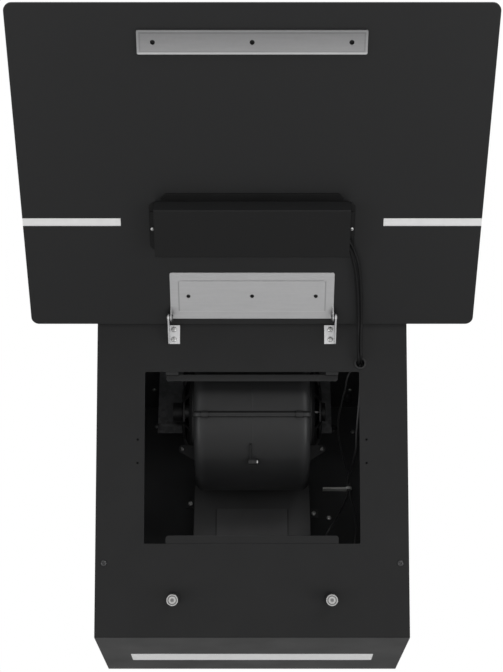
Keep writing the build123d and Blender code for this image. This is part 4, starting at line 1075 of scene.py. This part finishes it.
def cross_cutter():
    """Two tapered blades that cut the recess; each end has a reach, a half width and a height."""
    mesh = bmesh.new()
    for turn in (0, pi / 2):
        for vertex in bmesh.ops.create_cube(mesh, size=1)["verts"]:
            reach, half, height = RECESS_BOTTOM if vertex.co.z < 0 else RECESS_TOP
            place = Vector((copysign(reach, vertex.co.x), copysign(half, vertex.co.y), height))
            place.rotate(Matrix.Rotation(turn, 3, "Z"))
            vertex.co = place
    return solid("cutter", mesh)


def screw_head():
    """The pan head with its recess."""
    head = solid("screw_head", lathe(HEAD_PROFILE, HEAD_SIDES))
    cutter = cross_cutter()
    cut = head.modifiers.new("recess", "BOOLEAN")
    cut.object = cutter
    cut.solver = "EXACT"
    cut.use_self = True
    graph = bpy.context.evaluated_depsgraph_get()
    data = bpy.data.meshes.new_from_object(head.evaluated_get(graph))
    head.modifiers.clear()
    head.data = data
    bpy.data.objects.remove(cutter)
    return head


blank_head = screw_head()
print("head faces", len(blank_head.data.polygons))

# %% A threaded shank, one unit long
SHANK_SIDES = 24
THREAD_TURNS = 9
THREAD_STEPS = 8
THREAD_DEPTH = 0.16
TIP_TURNS = 2
TIP_WIDTH = 0.35


def screw_shank():
    """A shank whose radius follows a helix, so that the thread is real."""
    mesh = bmesh.new()
    rings = []
    steps = THREAD_TURNS * THREAD_STEPS
    for step in range(steps + 1):
        ring = []
        for side in range(SHANK_SIDES):
            phase = (step / THREAD_STEPS - side / SHANK_SIDES) % 1
            taper = min(1, (steps - step) / (TIP_TURNS * THREAD_STEPS) + TIP_WIDTH)
            radius = (1 - THREAD_DEPTH * abs(2 * phase - 1)) * taper
            turn = 2 * pi * side / SHANK_SIDES
            ring.append(mesh.verts.new((radius * cos(turn), radius * sin(turn), -step / steps)))
        rings.append(ring)
    for high, low in zip(rings, rings[1:]):
        for side in range(SHANK_SIDES):
            nearby = (side + 1) % SHANK_SIDES
            mesh.faces.new((low[side], low[nearby], high[nearby], high[side]))
    mesh.faces.new(rings[0])
    mesh.faces.new(rings[-1][::-1])
    return solid("screw_shank", mesh)


blank_shank = screw_shank()
print("shank faces", len(blank_shank.data.polygons))


# %% The tree that plants screws on points
def screw_tree():
    """Geometry Nodes that plant a head and a shank on every point."""
    tree = bpy.data.node_groups.new("plant_screws", "GeometryNodeTree")
    face = tree.interface
    face.new_socket("Points", in_out="INPUT", socket_type="NodeSocketGeometry")
    for name in ("Head Radius", "Head Height", "Shank Radius", "Shank Length"):
        face.new_socket(name, in_out="INPUT", socket_type="NodeSocketFloat")
    face.new_socket("Seed", in_out="INPUT", socket_type="NodeSocketInt")
    face.new_socket("Finish", in_out="INPUT", socket_type="NodeSocketMaterial")
    face.new_socket("Screws", in_out="OUTPUT", socket_type="NodeSocketGeometry")
    add = tree.nodes.new
    link = tree.links.new
    given = add("NodeGroupInput")
    result = add("NodeGroupOutput")
    aim = add("GeometryNodeInputNamedAttribute")
    aim.data_type = "FLOAT_VECTOR"
    aim.inputs["Name"].default_value = "aim"
    square = add("FunctionNodeAlignEulerToVector")
    square.axis = "Z"
    link(aim.outputs["Attribute"], square.inputs["Vector"])
    chance = add("FunctionNodeRandomValue")
    chance.inputs["Max"].default_value = pi
    link(given.outputs["Seed"], chance.inputs["Seed"])
    spin = add("ShaderNodeCombineXYZ")
    link(chance.outputs["Value"], spin.inputs["Z"])
    joined = add("GeometryNodeJoinGeometry")
    for blank, radius, length in (
        (blank_head, "Head Radius", "Head Height"),
        (blank_shank, "Shank Radius", "Shank Length"),
    ):
        source = add("GeometryNodeObjectInfo")
        source.inputs["Object"].default_value = blank
        size = add("ShaderNodeCombineXYZ")
        link(given.outputs[radius], size.inputs["X"])
        link(given.outputs[radius], size.inputs["Y"])
        link(given.outputs[length], size.inputs["Z"])
        plant = add("GeometryNodeInstanceOnPoints")
        link(given.outputs["Points"], plant.inputs["Points"])
        link(source.outputs["Geometry"], plant.inputs["Instance"])
        link(square.outputs["Rotation"], plant.inputs["Rotation"])
        link(size.outputs["Vector"], plant.inputs["Scale"])
        turned = add("GeometryNodeRotateInstances")
        link(plant.outputs["Instances"], turned.inputs["Instances"])
        link(spin.outputs["Vector"], turned.inputs["Rotation"])
        link(turned.outputs["Instances"], joined.inputs["Geometry"])
    real = add("GeometryNodeRealizeInstances")
    coat = add("GeometryNodeSetMaterial")
    link(joined.outputs["Geometry"], real.inputs["Geometry"])
    link(real.outputs["Geometry"], coat.inputs["Geometry"])
    link(given.outputs["Finish"], coat.inputs["Material"])
    link(coat.outputs["Geometry"], result.inputs["Screws"])
    return tree


planter = screw_tree()
print("tree nodes", len(planter.nodes))

# %% [markdown]
# The places of the screws are those of the model. On the leaning face they are counted up the
# face from its lower edge, and on the glass from its hinge side, as the sheet-metal drawings
# would give them. Each row is planted as one piece: the points carry the way that each screw looks
# as an attribute, the tree plants the screws on them, and the result is kept as plain mesh. A row
# that is given a node stands for the model's own screws; the others are extra screws, or share
# the node of a row before them.

# %% Plant a row of screws
def plant_screws(name, node, body, slot, spots, head, shank, seed, finish=None):
    """Plants one row of screws; head and shank are each a radius and a length in mm."""
    mesh = bpy.data.meshes.new(name)
    mesh.from_pydata([place * MM for place, _ in spots], [], [])
    aim = mesh.attributes.new("aim", "FLOAT_VECTOR", "POINT")
    aim.data.foreach_set("vector", [value for _, way in spots for value in way])
    row = bpy.data.objects.new(name, mesh)
    bpy.context.scene.collection.objects.link(row)
    planting = row.modifiers.new("screws", "NODES")
    planting.node_group = planter
    sockets = {item.name: item.identifier for item in planter.interface.items_tree}
    values = {
        "Head Radius": head[0] * MM, "Head Height": head[1] * MM,
        "Shank Radius": shank[0] * MM, "Shank Length": shank[1] * MM,
        "Seed": seed, "Finish": finish.material if finish else finishes[slot],
    }
    for label, value in values.items():
        planting[sockets[label]] = value
    graph = bpy.context.evaluated_depsgraph_get()
    plain = bpy.data.meshes.new_from_object(row.evaluated_get(graph))
    row.modifiers.clear()
    row.data = plain
    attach(row, body)
    if node:
        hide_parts(node)
    print(name, "faces", len(plain.polygons))


SIDES = (-1, 1)
HEAD_HEIGHT = 2.2

# %% Screws of the face and of the glass
CASING_SCREW_X, CASING_SCREW_UPS = 198.4, (97.7, 434.0)
LEAF_SCREW_X, LEAF_SCREW_UPS, LEAF_SHEET = 106.2, (411.6, 398.1), 2.0
EAR_X, EAR_UP, EAR_SHEET = 129.6, 142.0, 3.0

face_spots = [(on_face(side * CASING_SCREW_X, up), FACE_OUT) for side in SIDES for up in CASING_SCREW_UPS]
plant_screws(
    "casing_screw_set", "casing_screws", "body", "black_screw", face_spots,
    (4.2, HEAD_HEIGHT), (1.85, 7.2), 3,
)
leaf_spots = [
    (on_face(side * LEAF_SCREW_X, up, LEAF_SHEET), FACE_OUT) for side in SIDES for up in LEAF_SCREW_UPS
]
plant_screws(
    "hinge_screw_set", "hinge_screws", "body", "bright_screw", leaf_spots,
    (3.7, HEAD_HEIGHT), (1.85, 6.8), 5, grey_screws,
)
ear_spots = [(on_door(side * EAR_X, EAR_UP, EAR_SHEET), DOOR_IN) for side in SIDES]
plant_screws(
    "control_box_screw_set", "control_box_screws", "door", "bright_screw", ear_spots,
    (2.6, HEAD_HEIGHT), (1.15, 3.0), 8,
)

# %% Screws inside the casing
SHEET = 1.2
BOX_LUG_Y, BOX_LUGS = -5.2, [(-95, 14), (95, -2)]
UPPER_SCREWS, LOW_SCREW = [(-152, 144), (160, 135)], (118.6, -7.8)
WALL_HOLES = [(x, z) for x in (-130, 130) for z in (-140, 140)]
PLATE_LOW = 177.08
PLATE_SCREWS = [(side * 152, -71) for side in SIDES]
HANGER_SCREWS = [(x, -145.59) for x in (-120, 108.5)]
SMALL_HEAD = (3.4, HEAD_HEIGHT)


def on_wall(y, *places):
    """Points at a depth before the wall, looking into the room."""
    return [(Vector((x, y, z)), TO_ROOM) for x, z in places]


def under_plate(z, *places):
    """Points at a height under the top plate, looking down."""
    return [(Vector((x, y, z)), -UPWARD) for x, y in places]


plant_screws(
    "wiring_box_screw_set", "wiring_box_screws", "body", "bright_screw", on_wall(BOX_LUG_Y, *BOX_LUGS),
    SMALL_HEAD, (1.45, 4.0), 11, highlit_screws,
)
plant_screws(
    "inner_screw_set", "inner_screws", "body", "bright_screw",
    on_wall(-SHEET, *UPPER_SCREWS) + under_plate(PLATE_LOW, *PLATE_SCREWS),
    SMALL_HEAD, (1.45, SHEET), 13, grey_screws,
)
plant_screws(
    "inner_low_screw", None, "body", "bright_screw", on_wall(-SHEET, LOW_SCREW),
    SMALL_HEAD, (1.45, SHEET), 16, highlit_screws,
)
plant_screws(
    "wall_screw_set", None, "body", "black_screw", on_wall(-SHEET, *WALL_HOLES),
    (6.5, 3.2), (3.7, SHEET), 14,
)
plant_screws(
    "hanger_screw_set", None, "body", "bright_screw", under_plate(PLATE_LOW - SHEET, *HANGER_SCREWS),
    (3.6, HEAD_HEIGHT), (1.9, 2.4), 15,
)

# %% [markdown]
# The blower's own screws sit on its lugs and in the cross boss low on its front, which is driven
# from the right. Their points come from the blower's axis, out along the face's normal and up it.

# %% Screws of the blower
LUG_X, LUG_OUT, LUG_UP = 97.5, 63.5, -54.0
BOSS_ANGLE = radians(41.0)
SCROLL_REACH, BOSS_STAND = 105.39, 4.5
BOSS_REACH = SCROLL_REACH + BOSS_STAND
BOSS_END = 6.3
LUG_HEAD, LUG_SHANK = (3.2, HEAD_HEIGHT), (1.45, 8.0)


def from_blower(x, out, up):
    """A point counted from the blower's axis, out along the face's normal and up the face."""
    return BLOWER_AXIS + RIGHT * x + FACE_OUT * out + FACE_UP * up


lug_spots = [(from_blower(side * LUG_X, LUG_OUT, LUG_UP), FACE_OUT) for side in SIDES]
boss_spot = from_blower(BOSS_END, BOSS_REACH * cos(BOSS_ANGLE), -BOSS_REACH * sin(BOSS_ANGLE))
plant_screws(
    "volute_lug_screw_set", "volute_screws", "body", "bright_screw", lug_spots,
    LUG_HEAD, LUG_SHANK, 17, shaded_screws,
)
plant_screws(
    "volute_boss_screw", None, "body", "bright_screw", [(boss_spot, RIGHT)],
    LUG_HEAD, LUG_SHANK, 18,
)

# %% Clear the bench
for blank in (blank_head, blank_shank):
    bpy.data.objects.remove(blank)
